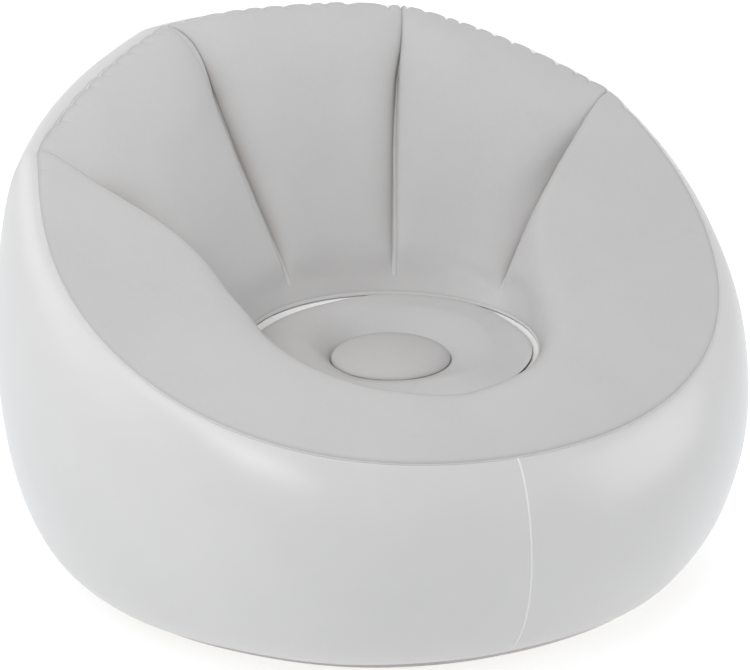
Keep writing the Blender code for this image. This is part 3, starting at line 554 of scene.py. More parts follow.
def flocked_top(phi, t):
    """The top with its details, and two masks of painted shade: one in creases, one beside seams and low
    in the back.

    Base section, plus along its normal: the swell, a roll at the rim of 1 - exp(-d / steep) that
    fades slowly, and each seam's tucks. At last the notches gather the sheet along the rim.
    """
    phi, t = np.broadcast_arrays(phi, t)
    moved = drifted(phi, t)
    base, normals = top_base(moved, t), top_normals(moved, t)
    from_rim = arc_length(base)
    to_hole = from_rim[-1:] - from_rim
    roll = ROLL_FRONT + (ROLL_BACK - ROLL_FRONT) * behind(phi)
    roll = roll * (1 - NOTCH_SHARE * pucker(phi) * np.exp(-from_rim / PUCKER_FADE))
    height = swell(phi, t) + roll * (1 - np.exp(-from_rim / ROLL_STEEP)) * np.exp(-from_rim / ROLL_FADE)
    # Painted shade: a dark line along the rim, and further down the same at the hole's edge.
    crease = sum(part * depth * np.exp(-(from_rim / reach) ** 2)
                 for part, (depth, reach) in ((1, RIM_CREASE), (behind(phi), BACK_RIM_CREASE)))
    # Painted shade low in the back near the hole, then beside each seam.
    shade = DEEP_SHADE * smooth_step(t, *DEEP_SPAN) * np.exp(-(from_back(phi) / DEEP_SPREAD) ** 2)
    for name in SEAMS:
        tucks, line, painted_seam_shade = seam_details(phi, t, from_rim, name)
        height = height + tucks
        crease, shade = np.maximum(crease, line), np.maximum(shade, painted_seam_shade)
    crease = np.maximum(crease, HOLE_CREASE[0] * np.exp(-to_hole / HOLE_CREASE[1]))
    ends = np.clip(from_rim / RIPPLE_EASE, 0, 1) * np.clip(to_hole / RIPPLE_EASE, 0, 1)
    height = height + TOP_RIPPLE * ripple(base, TOP_RIPPLE_LENGTH, 5) * ends
    return gather(base + height[..., None] * normals, phi, from_rim), {"crease": crease, "shade": shade}


# %% [markdown]
# ## Materials: shared effects
#
# Two effects are used by more than one finish, so each is a node group: a fine grain that gives a
# height for a bump and a little tint, and a soft cloudiness that no real plastic or nap is without.
# Both read object coordinates, in metres, so their scale is the real one.

# %% Node helpers
def add(tree, kind, inputs=None, **settings):
    """Add a node, set its properties, and link or set each named input."""
    node = tree.nodes.new(kind)
    for key, value in settings.items():
        setattr(node, key, value)
    for key, value in (inputs or {}).items():
        if isinstance(value, bpy.types.NodeSocket):
            tree.links.new(value, node.inputs[key])
        else:
            node.inputs[key].default_value = value
    return node


def new_group(name, inputs, outputs):
    """A shader node group with named sockets, and its input and output nodes."""
    group = bpy.data.node_groups.new(name, "ShaderNodeTree")
    for socket, kind, value in inputs:
        made = group.interface.new_socket(socket, in_out="INPUT", socket_type=kind)
        if value is not None:
            made.default_value = value
    for socket, kind in outputs:
        group.interface.new_socket(socket, in_out="OUTPUT", socket_type=kind)
    return group, group.nodes.new("NodeGroupInput"), group.nodes.new("NodeGroupOutput")


def math_node(tree, operation, first, second):
    """One Math node and its result."""
    node = add(tree, "ShaderNodeMath", operation=operation)
    for socket, value in zip(node.inputs, (first, second)):
        if isinstance(value, bpy.types.NodeSocket):
            tree.links.new(value, socket)
        else:
            socket.default_value = value
    return node.outputs[0]


# %% Fine grain group
def build_grain_group():
    """Two noises, one at the grain's own scale and one four times finer, added as height."""
    group, inlet, outlet = new_group(
        "fine_grain",
        [("Scale", "NodeSocketFloat", 900.0), ("Detail", "NodeSocketFloat", 2.0)],
        [("Height", "NodeSocketFloat"), ("Mask", "NodeSocketFloat")])
    where = add(group, "ShaderNodeTexCoord")
    coarse = add(group, "ShaderNodeTexNoise", {"Vector": where.outputs["Object"],
                                               "Scale": inlet.outputs["Scale"],
                                               "Detail": inlet.outputs["Detail"]})
    finer = math_node(group, "MULTIPLY", inlet.outputs["Scale"], 3.7)
    fine = add(group, "ShaderNodeTexNoise", {"Vector": where.outputs["Object"], "Scale": finer})
    half_fine = math_node(group, "MULTIPLY", fine.outputs["Fac"], 0.5)
    both = math_node(group, "ADD", coarse.outputs["Fac"], half_fine)
    group.links.new(both, outlet.inputs["Height"])
    group.links.new(coarse.outputs["Fac"], outlet.inputs["Mask"])
    return group


def build_cloud_group():
    """A broad, gently twisted noise squeezed round its middle, for slow changes of tone."""
    group, inlet, outlet = new_group(
        "soft_clouds",
        [("Scale", "NodeSocketFloat", 12.0), ("Twist", "NodeSocketFloat", 0.6)],
        [("Mask", "NodeSocketFloat")])
    where = add(group, "ShaderNodeTexCoord")
    noise = add(group, "ShaderNodeTexNoise", {"Vector": where.outputs["Object"],
                                              "Scale": inlet.outputs["Scale"],
                                              "Detail": 3.0, "Roughness": 0.45,
                                              "Distortion": inlet.outputs["Twist"]})
    ramp = add(group, "ShaderNodeMapRange", {"Value": noise.outputs["Fac"],
                                             "From Min": 0.3, "From Max": 0.7})
    group.links.new(ramp.outputs["Result"], outlet.inputs["Mask"])
    return group


grain_group = build_grain_group()
cloud_group = build_cloud_group()
print("node groups:", grain_group.name, cloud_group.name)


# %% [markdown]
# ## Flock
#
# Flock is short fibre shot into glue on the film: matt and soft to the eye. The nap lies over in
# patches where a hand has brushed it. So the colour carries slow clouds and a fine speckle, the bump
# is a fraction of a millimetre, and a low sheen softens the light. The crease mask paints shade into
# the creases, and the shade mask paints a darker, warmer shade beside the seams, low in the back and
# on the seat. Where the surface is seen edge-on its colour is darkened, so a crest has a thin darker
# outline.

# %% Flock material
FLOCK_COLOUR = (0.712, 0.707, 0.708)
CREASE_SHADE_COLOUR, SHADE_AND_OUTLINE_COLOUR = (0.30, 0.285, 0.27, 1), (0.16, 0.12, 0.08, 1)
EDGE_POWER, EDGE_SHARE = 9.0, 0.5


def tinted(colour, factor):
    """A colour times a factor, as RGBA."""
    return (*(channel * factor for channel in colour), 1)


def new_material(name):
    """An empty material with a Principled shader."""
    made = bpy.data.materials.new(name)
    made.use_nodes = True
    return made, made.node_tree, made.node_tree.nodes["Principled BSDF"]


def mix_colours(tree, factor, first, second, blend="MIX"):
    """One Mix node between two colours."""
    node = add(tree, "ShaderNodeMix", data_type="RGBA", blend_type=blend)
    for socket, value in ((node.inputs[0], factor), (node.inputs[6], first), (node.inputs[7], second)):
        if isinstance(value, bpy.types.NodeSocket):
            tree.links.new(value, socket)
        else:
            socket.default_value = value
    return node.outputs[2]


def build_flock():
    """Clouds and speckle in the colour, painted shade in creases and beside seams, darker edge-on, and a
    fine bump.
    """
    made, tree, shader = new_material("flock")
    clouds = add(tree, "ShaderNodeGroup", node_tree=cloud_group)
    clouds.inputs["Scale"].default_value = 9.0
    brushed = add(tree, "ShaderNodeGroup", node_tree=cloud_group)
    brushed.inputs["Scale"].default_value = 70.0
    brushed.inputs["Twist"].default_value = 1.4
    nap = add(tree, "ShaderNodeGroup", node_tree=grain_group)
    nap.inputs["Scale"].default_value = 850.0
    tone = mix_colours(tree, clouds.outputs["Mask"], tinted(FLOCK_COLOUR, 0.975),
                       tinted(FLOCK_COLOUR, 1.02))
    tone = mix_colours(tree, math_node(tree, "MULTIPLY", brushed.outputs["Mask"], 0.5), tone,
                       tinted(FLOCK_COLOUR, 1.03))
    tone = mix_colours(tree, math_node(tree, "MULTIPLY", nap.outputs["Mask"], 0.35), tone,
                       tinted(FLOCK_COLOUR, 0.93))
    # Painted shade: the colour darkens in creases and along welds.
    mask = add(tree, "ShaderNodeAttribute", attribute_name="crease")
    tone = mix_colours(tree, math_node(tree, "MULTIPLY", mask.outputs["Fac"], 0.75), tone, CREASE_SHADE_COLOUR)
    # Painted shade: darker and warmer beside the seams, low in the back and on the seat.
    painted_shade_mask = add(tree, "ShaderNodeAttribute", attribute_name="shade")
    tone = mix_colours(tree, painted_shade_mask.outputs["Fac"], tone, SHADE_AND_OUTLINE_COLOUR)
    edge = add(tree, "ShaderNodeLayerWeight", {"Blend": 0.5})
    edge_on = math_node(tree, "POWER", edge.outputs["Facing"], EDGE_POWER)
    tone = mix_colours(tree, math_node(tree, "MULTIPLY", edge_on, EDGE_SHARE), tone, SHADE_AND_OUTLINE_COLOUR)
    tree.links.new(tone, shader.inputs["Base Color"])
    shader.inputs["Roughness"].default_value = 0.95
    shader.inputs["Sheen Weight"].default_value = 0.10
    shader.inputs["Sheen Roughness"].default_value = 0.45
    shader.inputs["Specular IOR Level"].default_value = 0.2
    bump = add(tree, "ShaderNodeBump", {"Height": nap.outputs["Height"], "Strength": 0.35,
                                        "Distance": 0.0003})
    tree.links.new(bump.outputs["Normal"], shader.inputs["Normal"])
    return made


# %% [markdown]
# ## Film and valve plastics
#
# The wall is calendered vinyl with a satin skin: a soft highlight, no mirror image, and a hardly
# visible orange peel. One mask paints light into the film: the collar is drawn lighter, as if lit,
# and the lap weld's ridge carries a painted highlight. The crease mask paints shade along welds. The
# base film is a slightly warmer stock. The valve is moulded from a harder plastic, its ring seal is
# rubber and its check flap silicone.

# %% Film materials
# How much lighter the painted light makes a film.
PAINTED_LIGHT_FACTOR = 1.28


def build_film(name, colour, roughness, peel, specular=0.5):
    """Slow clouds in the tone and the roughness, and a shallow orange-peel bump."""
    made, tree, shader = new_material(name)
    clouds = add(tree, "ShaderNodeGroup", node_tree=cloud_group)
    clouds.inputs["Scale"].default_value = 7.0
    tone = mix_colours(tree, clouds.outputs["Mask"], tinted(colour, 0.985), tinted(colour, 1.015))
    # Painted shade: the crease mask darkens the film along welds.
    mask = add(tree, "ShaderNodeAttribute", attribute_name="crease")
    tone = mix_colours(tree, math_node(tree, "MULTIPLY", mask.outputs["Fac"], 0.6), tone,
                       tinted(colour, 0.5))
    # Painted light: this mask makes the film lighter, as if better lit.
    painted_light = add(tree, "ShaderNodeAttribute", attribute_name="painted_light")
    tone = mix_colours(tree, painted_light.outputs["Fac"], tone, tinted(colour, PAINTED_LIGHT_FACTOR))
    tree.links.new(tone, shader.inputs["Base Color"])
    rough = add(tree, "ShaderNodeMapRange", {"Value": clouds.outputs["Mask"],
                                             "To Min": roughness - 0.03, "To Max": roughness + 0.04})
    tree.links.new(rough.outputs["Result"], shader.inputs["Roughness"])
    shader.inputs["Specular IOR Level"].default_value = specular
    grain = add(tree, "ShaderNodeGroup", node_tree=grain_group)
    grain.inputs["Scale"].default_value = peel
    bump = add(tree, "ShaderNodeBump", {"Height": grain.outputs["Height"], "Strength": 0.12,
                                        "Distance": 0.0002})
    tree.links.new(bump.outputs["Normal"], shader.inputs["Normal"])
    return made


flock = build_flock()
wall_film = build_film("wall_film", (0.773, 0.773, 0.773), 0.32, 260.0)
base_film = build_film("base_film", (0.820, 0.790, 0.800), 0.45, 260.0)
inner_film = build_film("inner_film", (0.640, 0.640, 0.640), 0.42, 260.0)
valve_plastic = build_film("valve_plastic", (0.760, 0.760, 0.750), 0.34, 600.0)
seal_rubber = build_film("seal_rubber", (0.300, 0.300, 0.300), 0.62, 900.0, 0.4)
flap_silicone = build_film("flap_silicone", (0.620, 0.640, 0.650), 0.45, 500.0, 0.45)
inner_film.node_tree.nodes["Principled BSDF"].inputs["Alpha"].default_value = 0.9


# %% [markdown]
# ## The flocked panels
#
# The top is four sheets: one arm sheet round the front, and three back panels. Each is cut from the
# same two-parameter surface between two seams, with its columns crowded at the seams and its rows
# crowded at the rim and at the hole.

# %% Make the panels
def build_panel(name, start, stop, cols, rows, tightness, node):
    """One flocked sheet between two angles."""
    phi = start + (stop - start) * graded(cols, tightness)
    t = graded(rows, 0.95)
    points, masks = flocked_top(phi[None, :], t[:, None])
    made = surface(name, points, inside=(0, 0, -3), masks=masks)
    return dress(made, flock, stands_for=(node,))


right_outer, right_inner = SEAMS["right_outer"], SEAMS["right_inner"]
left_inner, left_outer = SEAMS["left_inner"], SEAMS["left_outer"]
build_panel("flocked_arms", left_outer - 2 * math.pi, right_outer, 420, 110, 0.90, "arm_panel")
build_panel("flocked_back_right", right_outer, right_inner, 230, 120, 0.85, "back_panel_right")
build_panel("flocked_back_centre", right_inner, left_inner, 250, 120, 0.85, "back_panel_centre")
build_panel("flocked_back_left", left_inner, left_outer, 230, 120, 0.85, "back_panel_left")

# %% [markdown]
# ## The weld strips
#
# Where a tie web is welded under a seam, the nap is pressed into a narrow tape. It lies in the bottom
# of the crease, widens a little on its way down and ends in a round tip.

# %% Make the weld strips
STRIP_RISE, STRIP_LIFT = 0.0006, 0.0002


def build_strip(name):
    """A ribbon along the seam: across it the height is 1 - v^4, and the tip's width is a half circle."""
    seam = SEAMS[name]
    start, end = STRIP_SPAN[name]
    t = start + (end - start) * graded(160, 0.7)
    column = np.full(t.shape, seam)
    centre = top_base(drifted(column, t), t)
    normal = top_normals(drifted(column, t), t)
    tangent = unit(np.gradient(centre, axis=0))
    across = unit(np.cross(normal, tangent))
    length = arc_length(centre[:, None, :])[:, 0]
    low, high = STRIP_HALF_WIDTHS
    half = low + (high - low) * length / length[-1]
    tip = np.clip((length[-1] - length) / high, 0, 1)
    head = np.clip(length / (3 * low), 0, 1)
    half = half * np.sqrt(1 - (1 - tip) ** 2) * np.sqrt(1 - (1 - head) ** 2) + 1e-5
    v = np.linspace(-1, 1, 13)[None, :]
    aside = v * half[:, None]
    rise = STRIP_RISE * (1 - v ** 4) * np.minimum(tip, head)[:, None] ** 0.5 + STRIP_LIFT
    points = centre[:, None] + across[:, None] * aside[..., None] + normal[:, None] * rise[..., None]
    made = surface("seam_strip_" + name, points, inside=(0, 0, -3))
    return dress(made, flock)


for seam_name in SEAMS:
    build_strip(seam_name)

# %% [markdown]
# ## The outer wall
#
# The wall's section is two elliptic arcs that share the belly: the lower one meets the base at a
# slant, and the upper one meets the rim at a slant that is largest in front and nothing behind. Two
# half walls meet in a lap weld at the front and at the rear, which leaves a low ridge. Near the rim
# the wall rolls into the weld too, and behind the back the same notches gather it. The right wall has
# a round hole that the valve's boss comes out of, so nothing blocks the bore.

# %% Wall surface
BORDER_HEIGHT, BORDER_ROUND = 0.012, 0.008
FOOT_ANGLE_DEG, RIM_ANGLE_DEG = 10, (27, 2, 0)
FRONT_WELD_DEG = -0.5
WALL_ROLL, WALL_ROLL_STEEP, WALL_ROLL_FADE, WALL_NOTCH_SHARE = 0.0016, 0.0020, 0.040, 0.8
FOOT_ROLL, FOOT_ROLL_STEEP, FOOT_ROLL_FADE = 0.0010, 0.0015, 0.02
RIDGE_RISE, RIDGE_HALF_WIDTH = 0.0005, 0.0010
LAP_LINE_SHADE, LAP_LINE_AWAY, LAP_LINE_WIDTH = 0.06, 0.0022, 0.0008
WALL_RIPPLE, WALL_RIPPLE_LENGTH, WALL_RIPPLE_EASE = 0.0004, 0.16, 0.03
VALVE_HOLE_RADIUS, VALVE_HOLE_DEPTH = 0.0205, 0.05


def wall_points(phi, rise):
    """The wall: rise 0 at the base weld, 1 on the belly and 2 at the rim, as two elliptic arcs."""
    foot = math.radians(FOOT_ANGLE_DEG)
    belly, base = belly_reach(phi), base_reach(phi)
    belly_z = wave(phi, *BELLY_HEIGHT)
    low = foot + (QUARTER - foot) * np.minimum(rise, 1)
    tip = np.radians(wave(phi, *RIM_ANGLE_DEG))
    high = (QUARTER - tip) * np.maximum(rise - 1, 0)
    low_reach = belly - (belly - base) * (1 - np.sin(low)) / (1 - math.sin(foot))
    low_z = belly_z - (belly_z - BORDER_HEIGHT) * np.cos(low) / math.cos(foot)
    high_reach = belly - (belly - rim_reach(phi)) * (1 - np.cos(high)) / (1 - np.sin(tip))
    high_z = belly_z + (rim_height(phi) - belly_z) * np.sin(high) / np.cos(tip)
    below = rise < 1
    return place(phi, np.where(below, low_reach, high_reach), np.where(below, low_z, high_z))


def valve_hole(points):
    """Points nearer to the valve's axis than the hole's radius move out to its edge, and are marked."""
    joint = next(joint for joint in frame["joints"] if joint["name"] == "plug_turn")
    axis, centre = unit(np.array(joint["axis"])), np.array(joint["pos_m"])
    depth = ((points - centre) @ axis)[..., None]
    offset = points - centre - depth * axis
    radius = np.linalg.norm(offset, axis=-1, keepdims=True)
    near = (radius < VALVE_HOLE_RADIUS) & (np.abs(depth) < VALVE_HOLE_DEPTH)
    moved = centre + depth * axis + offset * VALVE_HOLE_RADIUS / np.maximum(radius, 1e-6)
    return np.where(near, moved, points), near[..., 0]


def build_wall(name, side, node):
    """Half the wall, from the front weld to the rear weld on one side (+1 right, -1 left)."""
    phi = side * math.pi * graded(300, 0.985)
    phi = phi + math.radians(FRONT_WELD_DEG) * (1 + np.cos(phi)) / 2
    rise = 2 * graded(150, 0.96)
    points = wall_points(phi[None, :], rise[:, None])
    normals = grid_normals(points)
    outward = points * [1, 1, 0]
    normals = normals * np.sign(np.sum(normals * outward, axis=-1, keepdims=True))
    normals[-1] = [0, 0, 1]
    from_rim = arc_length(points[::-1])[::-1]
    from_base = arc_length(points)
    roll = WALL_ROLL * (1 - WALL_NOTCH_SHARE * pucker(phi)[None, :] * np.exp(-from_rim / PUCKER_FADE))
    height = roll * (1 - np.exp(-from_rim / WALL_ROLL_STEEP)) * np.exp(-from_rim / WALL_ROLL_FADE)
    foot_rise = FOOT_ROLL * (1 - np.exp(-from_base / FOOT_ROLL_STEEP))
    height = height + foot_rise * np.exp(-from_base / FOOT_ROLL_FADE)
    weld_gap = np.minimum(np.abs(phi - phi[0]), np.abs(phi - phi[-1]))[None, :]
    from_weld = weld_gap * np.linalg.norm(points[..., :2], axis=-1)
    ridge = np.exp(-(from_weld / RIDGE_HALF_WIDTH) ** 2)
    height = height + RIDGE_RISE * ridge
    waves = ripple(points, WALL_RIPPLE_LENGTH, 11) * np.clip(from_rim / WALL_RIPPLE_EASE, 0, 1)
    height = height + WALL_RIPPLE * waves
    points = gather(points + height[..., None] * normals, phi[None, :], from_rim)
    # Painted shade: dark lines along the rim and foot welds, and on the left half a faint painted shadow
    # beside the lap.
    crease = np.maximum(0.5 * np.exp(-from_rim / 0.0010), 0.3 * np.exp(-from_base / 0.0008))
    if side < 0:
        lap_edge = np.exp(-((from_weld - LAP_LINE_AWAY) / LAP_LINE_WIDTH) ** 2)
        crease = np.maximum(crease, LAP_LINE_SHADE * lap_edge)
    # Painted highlight along the lap weld's ridge, fading out near the foot.
    painted_light = ridge * smooth_step(from_base, 0.008, 0.03)
    points, hole = valve_hole(points)
    made = surface(name, points, inside=(0, 0, 0.25), masks={"crease": crease, "painted_light": painted_light}, hole=hole)
    return dress(made, wall_film, stands_for=(node,))


build_wall("wall_right", 1, "side_wall_right")
build_wall("wall_left", -1, "side_wall_left")

# %% [markdown]
# ## Weld beads
#
# Heat welding squeezes a thin bead of film out along the joint. One runs round the rim, between wall
# and flock, and one round the foot.

# %% Make the beads
def tube_round(name, line, radius, finish):
    """A circle carried along a closed line: centre plus radius times cos and sin of two normals."""
    tangent = unit(np.roll(line, -1, axis=0) - np.roll(line, 1, axis=0))
    side = unit(np.cross(tangent, [0, 0, 1]))
    top = np.cross(side, tangent)
    turn = np.linspace(0, 2 * math.pi, 9)[:-1]
    ring = np.cos(turn)[:, None, None] * side[None] + np.sin(turn)[:, None, None] * top[None]
    points = line[None] + radius * ring
    rows = np.concatenate([points, points[:1]], axis=0)
    made = surface(name, rows, closed=True, inside=(0, 0, 0.25), thickness=0)
    close_poles(made)
    return dress(made, finish)


BEAD_OUT, RIM_BEAD_UP = 0.0004, 0.0007
RIM_BEAD_RADIUS, FOOT_BEAD_RADIUS = 0.0009, 0.0008
around = np.linspace(0, 2 * math.pi, 721)[:-1]
rim_line = place(around, rim_reach(around) + BEAD_OUT, rim_height(around) + RIM_BEAD_UP)
tube_round("rim_weld", gather(rim_line, around, 0 * around), RIM_BEAD_RADIUS, wall_film)
foot_line = place(around, base_reach(around) + BEAD_OUT, BORDER_HEIGHT)
tube_round("foot_weld", foot_line, FOOT_BEAD_RADIUS, wall_film)

# %% [markdown]
# ## The base
#
# The underside is one flat sheet. Its border turns up a little to meet the wall, and shows as a
# darker band along the foot.

# %% Make the base
def build_base():
    """Rings: a quarter turn from upright to flat at the border, then flat rings in to the middle."""
    phi = np.linspace(0, 2 * math.pi, 361)[:-1]
    turns = np.linspace(QUARTER, 0, 13)
    edge = base_reach(phi)[None, :] - BORDER_ROUND * (1 - np.sin(turns[:, None]))
    border = place(phi[None, :], edge, (BORDER_HEIGHT - 0.0003) * (1 - np.cos(turns[:, None])))
    shares = np.linspace(1, 0, 24)[1:, None]
    flat = place(phi[None, :], (base_reach(phi) - BORDER_ROUND)[None, :] * shares, 0.0)
    made = surface("base", np.concatenate([border, flat]), closed=True, inside=(0, 0, 0.3))
    close_poles(made)
    return dress(made, base_film, stands_for=("base_sheet",))


build_base()

# %% [markdown]
# ## Seat, button and collar
#
# A round flocked cushion sits in the hole, tied down in its middle under a flocked button. Between
# the cushion and the top a collar of white film shows as a thin crescent, drawn lighter as painted
# light, below a flat pressed band at the edge of the flock. All are turned pieces: a profile carried
# round the seat's own axis. The cushion is flatter in front and on the right, and painted shade
# darkens its left and the whole button.

# %% Turned pieces about the seat's axis
SEAT_CREST_FRONT, SEAT_CREST_BACK = 0.308, 0.324
SEAT_RIGHT_DROP, SEAT_RIGHT_EDGE = 0.005, 0.0035
# Painted shade on the cushion's left and over the whole button.
SEAT_SHADE, BUTTON_SHADE = 0.10, 0.08
SEAT_GAP = 0.0062
TIGHT_DEG, TIGHT_SPREAD_DEG = 140, 30
BUTTON_RADIUS, BUTTON_RISE = 0.081, 0.024
BUTTON_HEIGHT = HOLE_HEIGHT - 0.023
COLLAR_RUN, COLLAR_FALL = 0.012, 0.0095
BAND_THICKNESS = 0.0008


def turned(name, radius, height, cols=300, inside=(0, 0, -3), thickness=FILM, masks=None):
    """A profile of radii and heights, each alone or as a grid over the angle, carried round the seat."""
    phi = np.linspace(0, 2 * math.pi, cols + 1)[:-1]
    radius, height = (np.asarray(v, float).reshape(len(v), -1) for v in (radius, height))
    radius, height = np.broadcast_arrays(radius, height)
    points = place(phi[None, :], radius, height) + [0, HOLE_CENTRE_Y, 0]
    return surface(name, points, closed=True, inside=inside, thickness=thickness, masks=masks)


def tightness(phi):
    """1 where the cushion presses against the band, at the right of the back, and 0 elsewhere."""
    away = np.degrees(turn_gap(phi, math.radians(TIGHT_DEG)))
    return 1 - smooth_step(away, TIGHT_SPREAD_DEG / 2, TIGHT_SPREAD_DEG * 1.6)


def collar_height(phi, radius):
    """The white collar's slope: it falls evenly from the band's foot inwards."""
    return hole_level(phi) - 0.001 - COLLAR_FALL * (HOLE_RADIUS - radius) / COLLAR_RUN


def build_seat():
    """The ring: a power of the share falls from its crest to its edge, and another to its groove."""
    phi = np.linspace(0, 2 * math.pi, 301)[:-1]
    loose = SEAT_GAP * (1 - tightness(phi))
    outer, groove = HOLE_RADIUS - 0.0015 - loose, BUTTON_RADIUS + 0.0008
    crest = (HOLE_RADIUS - SEAT_GAP / 2 + groove) / 2
    front = smooth_step(np.cos(phi), -0.3, 0.75)
    right = smooth_step(np.sin(phi), 0.1, 0.85)
    crest_height = SEAT_CREST_BACK + (SEAT_CREST_FRONT - SEAT_CREST_BACK) * front
    crest_height = crest_height - SEAT_RIGHT_DROP * right
    edge_height = collar_height(phi, outer) + 0.0006 + SEAT_RIGHT_EDGE * right
    out_power = 2.2 + 2.8 * smooth_step(np.sin(phi), -0.3, 0.7)
    in_power = 2.3 - 0.9 * np.maximum(front, right)
    out_share = np.sin(np.linspace(0, QUARTER, 40))[::-1, None]
    in_share = np.sin(np.linspace(0, QUARTER, 50))[1:, None]
    radius = np.concatenate([crest + (outer - crest) * out_share,
                             crest - (crest - groove) * in_share + 0 * phi])
    height = np.concatenate([crest_height - (crest_height - edge_height) * out_share ** out_power,
                             crest_height - (crest_height - BUTTON_HEIGHT) * in_share ** in_power])
    # Painted shade: dark lines at the cushion's outer edge and in its groove.
    crease = np.maximum(0.3 * np.exp(-(outer - radius) / 0.0010),
                        0.15 * np.exp(-(radius - groove) / 0.0012))
    # Painted shade, strongest on the cushion's left.
    shade = SEAT_SHADE * (1 - smooth_step(np.sin(phi), -0.7, 0.2)) + 0 * radius
    made = turned("flocked_seat", radius, height, masks={"crease": crease, "shade": shade})
    return dress(made, flock, stands_for=("seat_top",))


def build_button():
    """A dome: a quarter ellipse from the groove up to the middle."""
    turn = np.linspace(0, QUARTER, 45)
    radius = BUTTON_RADIUS * np.cos(turn)
    height = BUTTON_HEIGHT + BUTTON_RISE * np.sin(turn)
    radius[-1] = 0
    # Painted shade: a dark line at the button's foot, and the shade mask darkens all of it.
    crease = 0.15 * np.exp(-(BUTTON_RADIUS - radius) / 0.0010)
    made = turned("flocked_button", radius, height, cols=200,
                  masks={"crease": crease[:, None], "shade": BUTTON_SHADE})
    close_poles(made)
    return dress(made, flock, stands_for=("seat_button",))


def build_collar():
    """The white collar: a cone that falls inwards from the band's foot and passes under the cushion."""
    phi = np.linspace(0, 2 * math.pi, 301)[:-1]
    radius = HOLE_RADIUS + 0.0004 - np.linspace(0, 1, 9)[:, None] * COLLAR_RUN
    # Painted light: the whole collar is drawn lighter than the wall film, as if lit.
    made = turned("white_collar", radius, collar_height(phi, radius), inside=(0, HOLE_CENTRE_Y, -3),
                  masks={"painted_light": 1.0})
    return dress(made, wall_film, stands_for=("seat_collar",))


def build_band():
    """The pressed edge of the flock: a steep narrow cone with rounded edges, from the panels' foot."""
    phi = np.linspace(0, 2 * math.pi, 301)[:-1]
    share = np.linspace(0, 1, 14)[:, None]
    half = BAND_THICKNESS / 2 * np.sqrt(1 - np.abs(2 * share - 1) ** 8)
    run, climb = BAND_RUN + 0 * phi, band_climb(phi)
    face = unit(np.stack([-climb, run], axis=-1))
    radius, height = HOLE_RADIUS + share * run, hole_level(phi) + share * climb
    rise = half + 0.0004
    radius = np.concatenate([radius + rise * face[:, 0], (radius - half * face[:, 0])[::-1]])
    height = np.concatenate([height + rise * face[:, 1], (height - half * face[:, 1])[::-1]])
    radius, height = (np.concatenate([grid, grid[:1]]) for grid in (radius, height))
    made = turned("hole_band", radius, height, thickness=0, inside=(0, HOLE_CENTRE_Y, 0.31))
    close_poles(made)
    return dress(made, flock)


build_seat()
build_button()
build_collar()
build_band()

# %% [markdown]
# ## Carried-over parts
#
# The tie webs and the tie tube are inside the chamber, and the valve's parts are on the right of the
# rear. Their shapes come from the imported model, and here they get their finishes.

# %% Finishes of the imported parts
finishes = {"seam_web": inner_film, "seat_tie_tube": inner_film, "valve_base": valve_plastic,
            "valve_plug": valve_plastic, "valve_cap": valve_plastic, "valve_seal_ring": seal_rubber,
            "valve_flap": flap_silicone}
for node_name, node in nodes.items():
    for prefix, finish in finishes.items():
        if node_name.startswith(prefix):
            node.data.materials.clear()
            node.data.materials.append(finish)
            print(node_name, "gets", finish.name)

# %% [markdown]
# ## Floor, light and camera
#
# A plain pale floor and eight large soft lamps, the strongest of them high on the left and low on the
# right. The floor glows a little, as a lit studio floor does, and the world gives no light. What the
# camera sees of the floor and the world is drawn up to white through the light path, so that no lamp
# has to burn the object out. Near the chair the floor keeps a faint warm shadow, and past the shadow's
# reach it is plain white.

# %% Floor and world
FLOOR_SIZE, FLOOR_DROP = 9.0, 0.0004
SHADOW_REACH = (0.40, 0.62)
FLOOR_COLOUR, FLOOR_SEEN_COLOUR = (0.80, 0.80, 0.80, 1), (0.26, 0.30, 0.36, 1)
FLOOR_GLOW, NEAR_GLOW, FAR_GLOW = (0.192, 0.192, 0.192, 1), (0.81, 0.785, 0.74, 1), (1, 1, 1, 1)


def build_floor():
    """A large plane just under the chair, white to the camera except where it is shaded."""
    made = bpy.data.meshes.new("floor")
    signs = ((-1, -1), (1, -1), (1, 1), (-1, 1))
    corners = [(x * FLOOR_SIZE, y * FLOOR_SIZE, -FLOOR_DROP) for x, y in signs]
    made.from_pydata(corners, [], [(0, 1, 2, 3)])
    floor = bpy.data.objects.new("floor", made)
    bpy.context.scene.collection.objects.link(floor)
    finish, tree, shader = new_material("pale_floor")
    path = add(tree, "ShaderNodeLightPath")
    seen = math_node(tree, "MAXIMUM", path.outputs["Is Camera Ray"], path.outputs["Is Glossy Ray"])
    seen = math_node(tree, "MAXIMUM", seen, path.outputs["Is Transmission Ray"])
    tone = mix_colours(tree, seen, FLOOR_COLOUR, FLOOR_SEEN_COLOUR)
    tree.links.new(tone, shader.inputs["Base Color"])
    shader.inputs["Roughness"].default_value = 1.0
    shader.inputs["Specular IOR Level"].default_value = 0.0
    where = add(tree, "ShaderNodeTexCoord")
    away = add(tree, "ShaderNodeVectorMath", {0: where.outputs["Object"]}, operation="LENGTH")
    near, past = SHADOW_REACH
    far = add(tree, "ShaderNodeMapRange", {"Value": away.outputs["Value"], "From Min": near,
                                           "From Max": past}, interpolation_type="SMOOTHSTEP")
    shown = mix_colours(tree, far.outputs["Result"], NEAR_GLOW, FAR_GLOW)
    glow = mix_colours(tree, seen, FLOOR_GLOW, shown)
    tree.links.new(glow, shader.inputs["Emission Color"])
    shader.inputs["Emission Strength"].default_value = 1.0
    made.materials.append(finish)


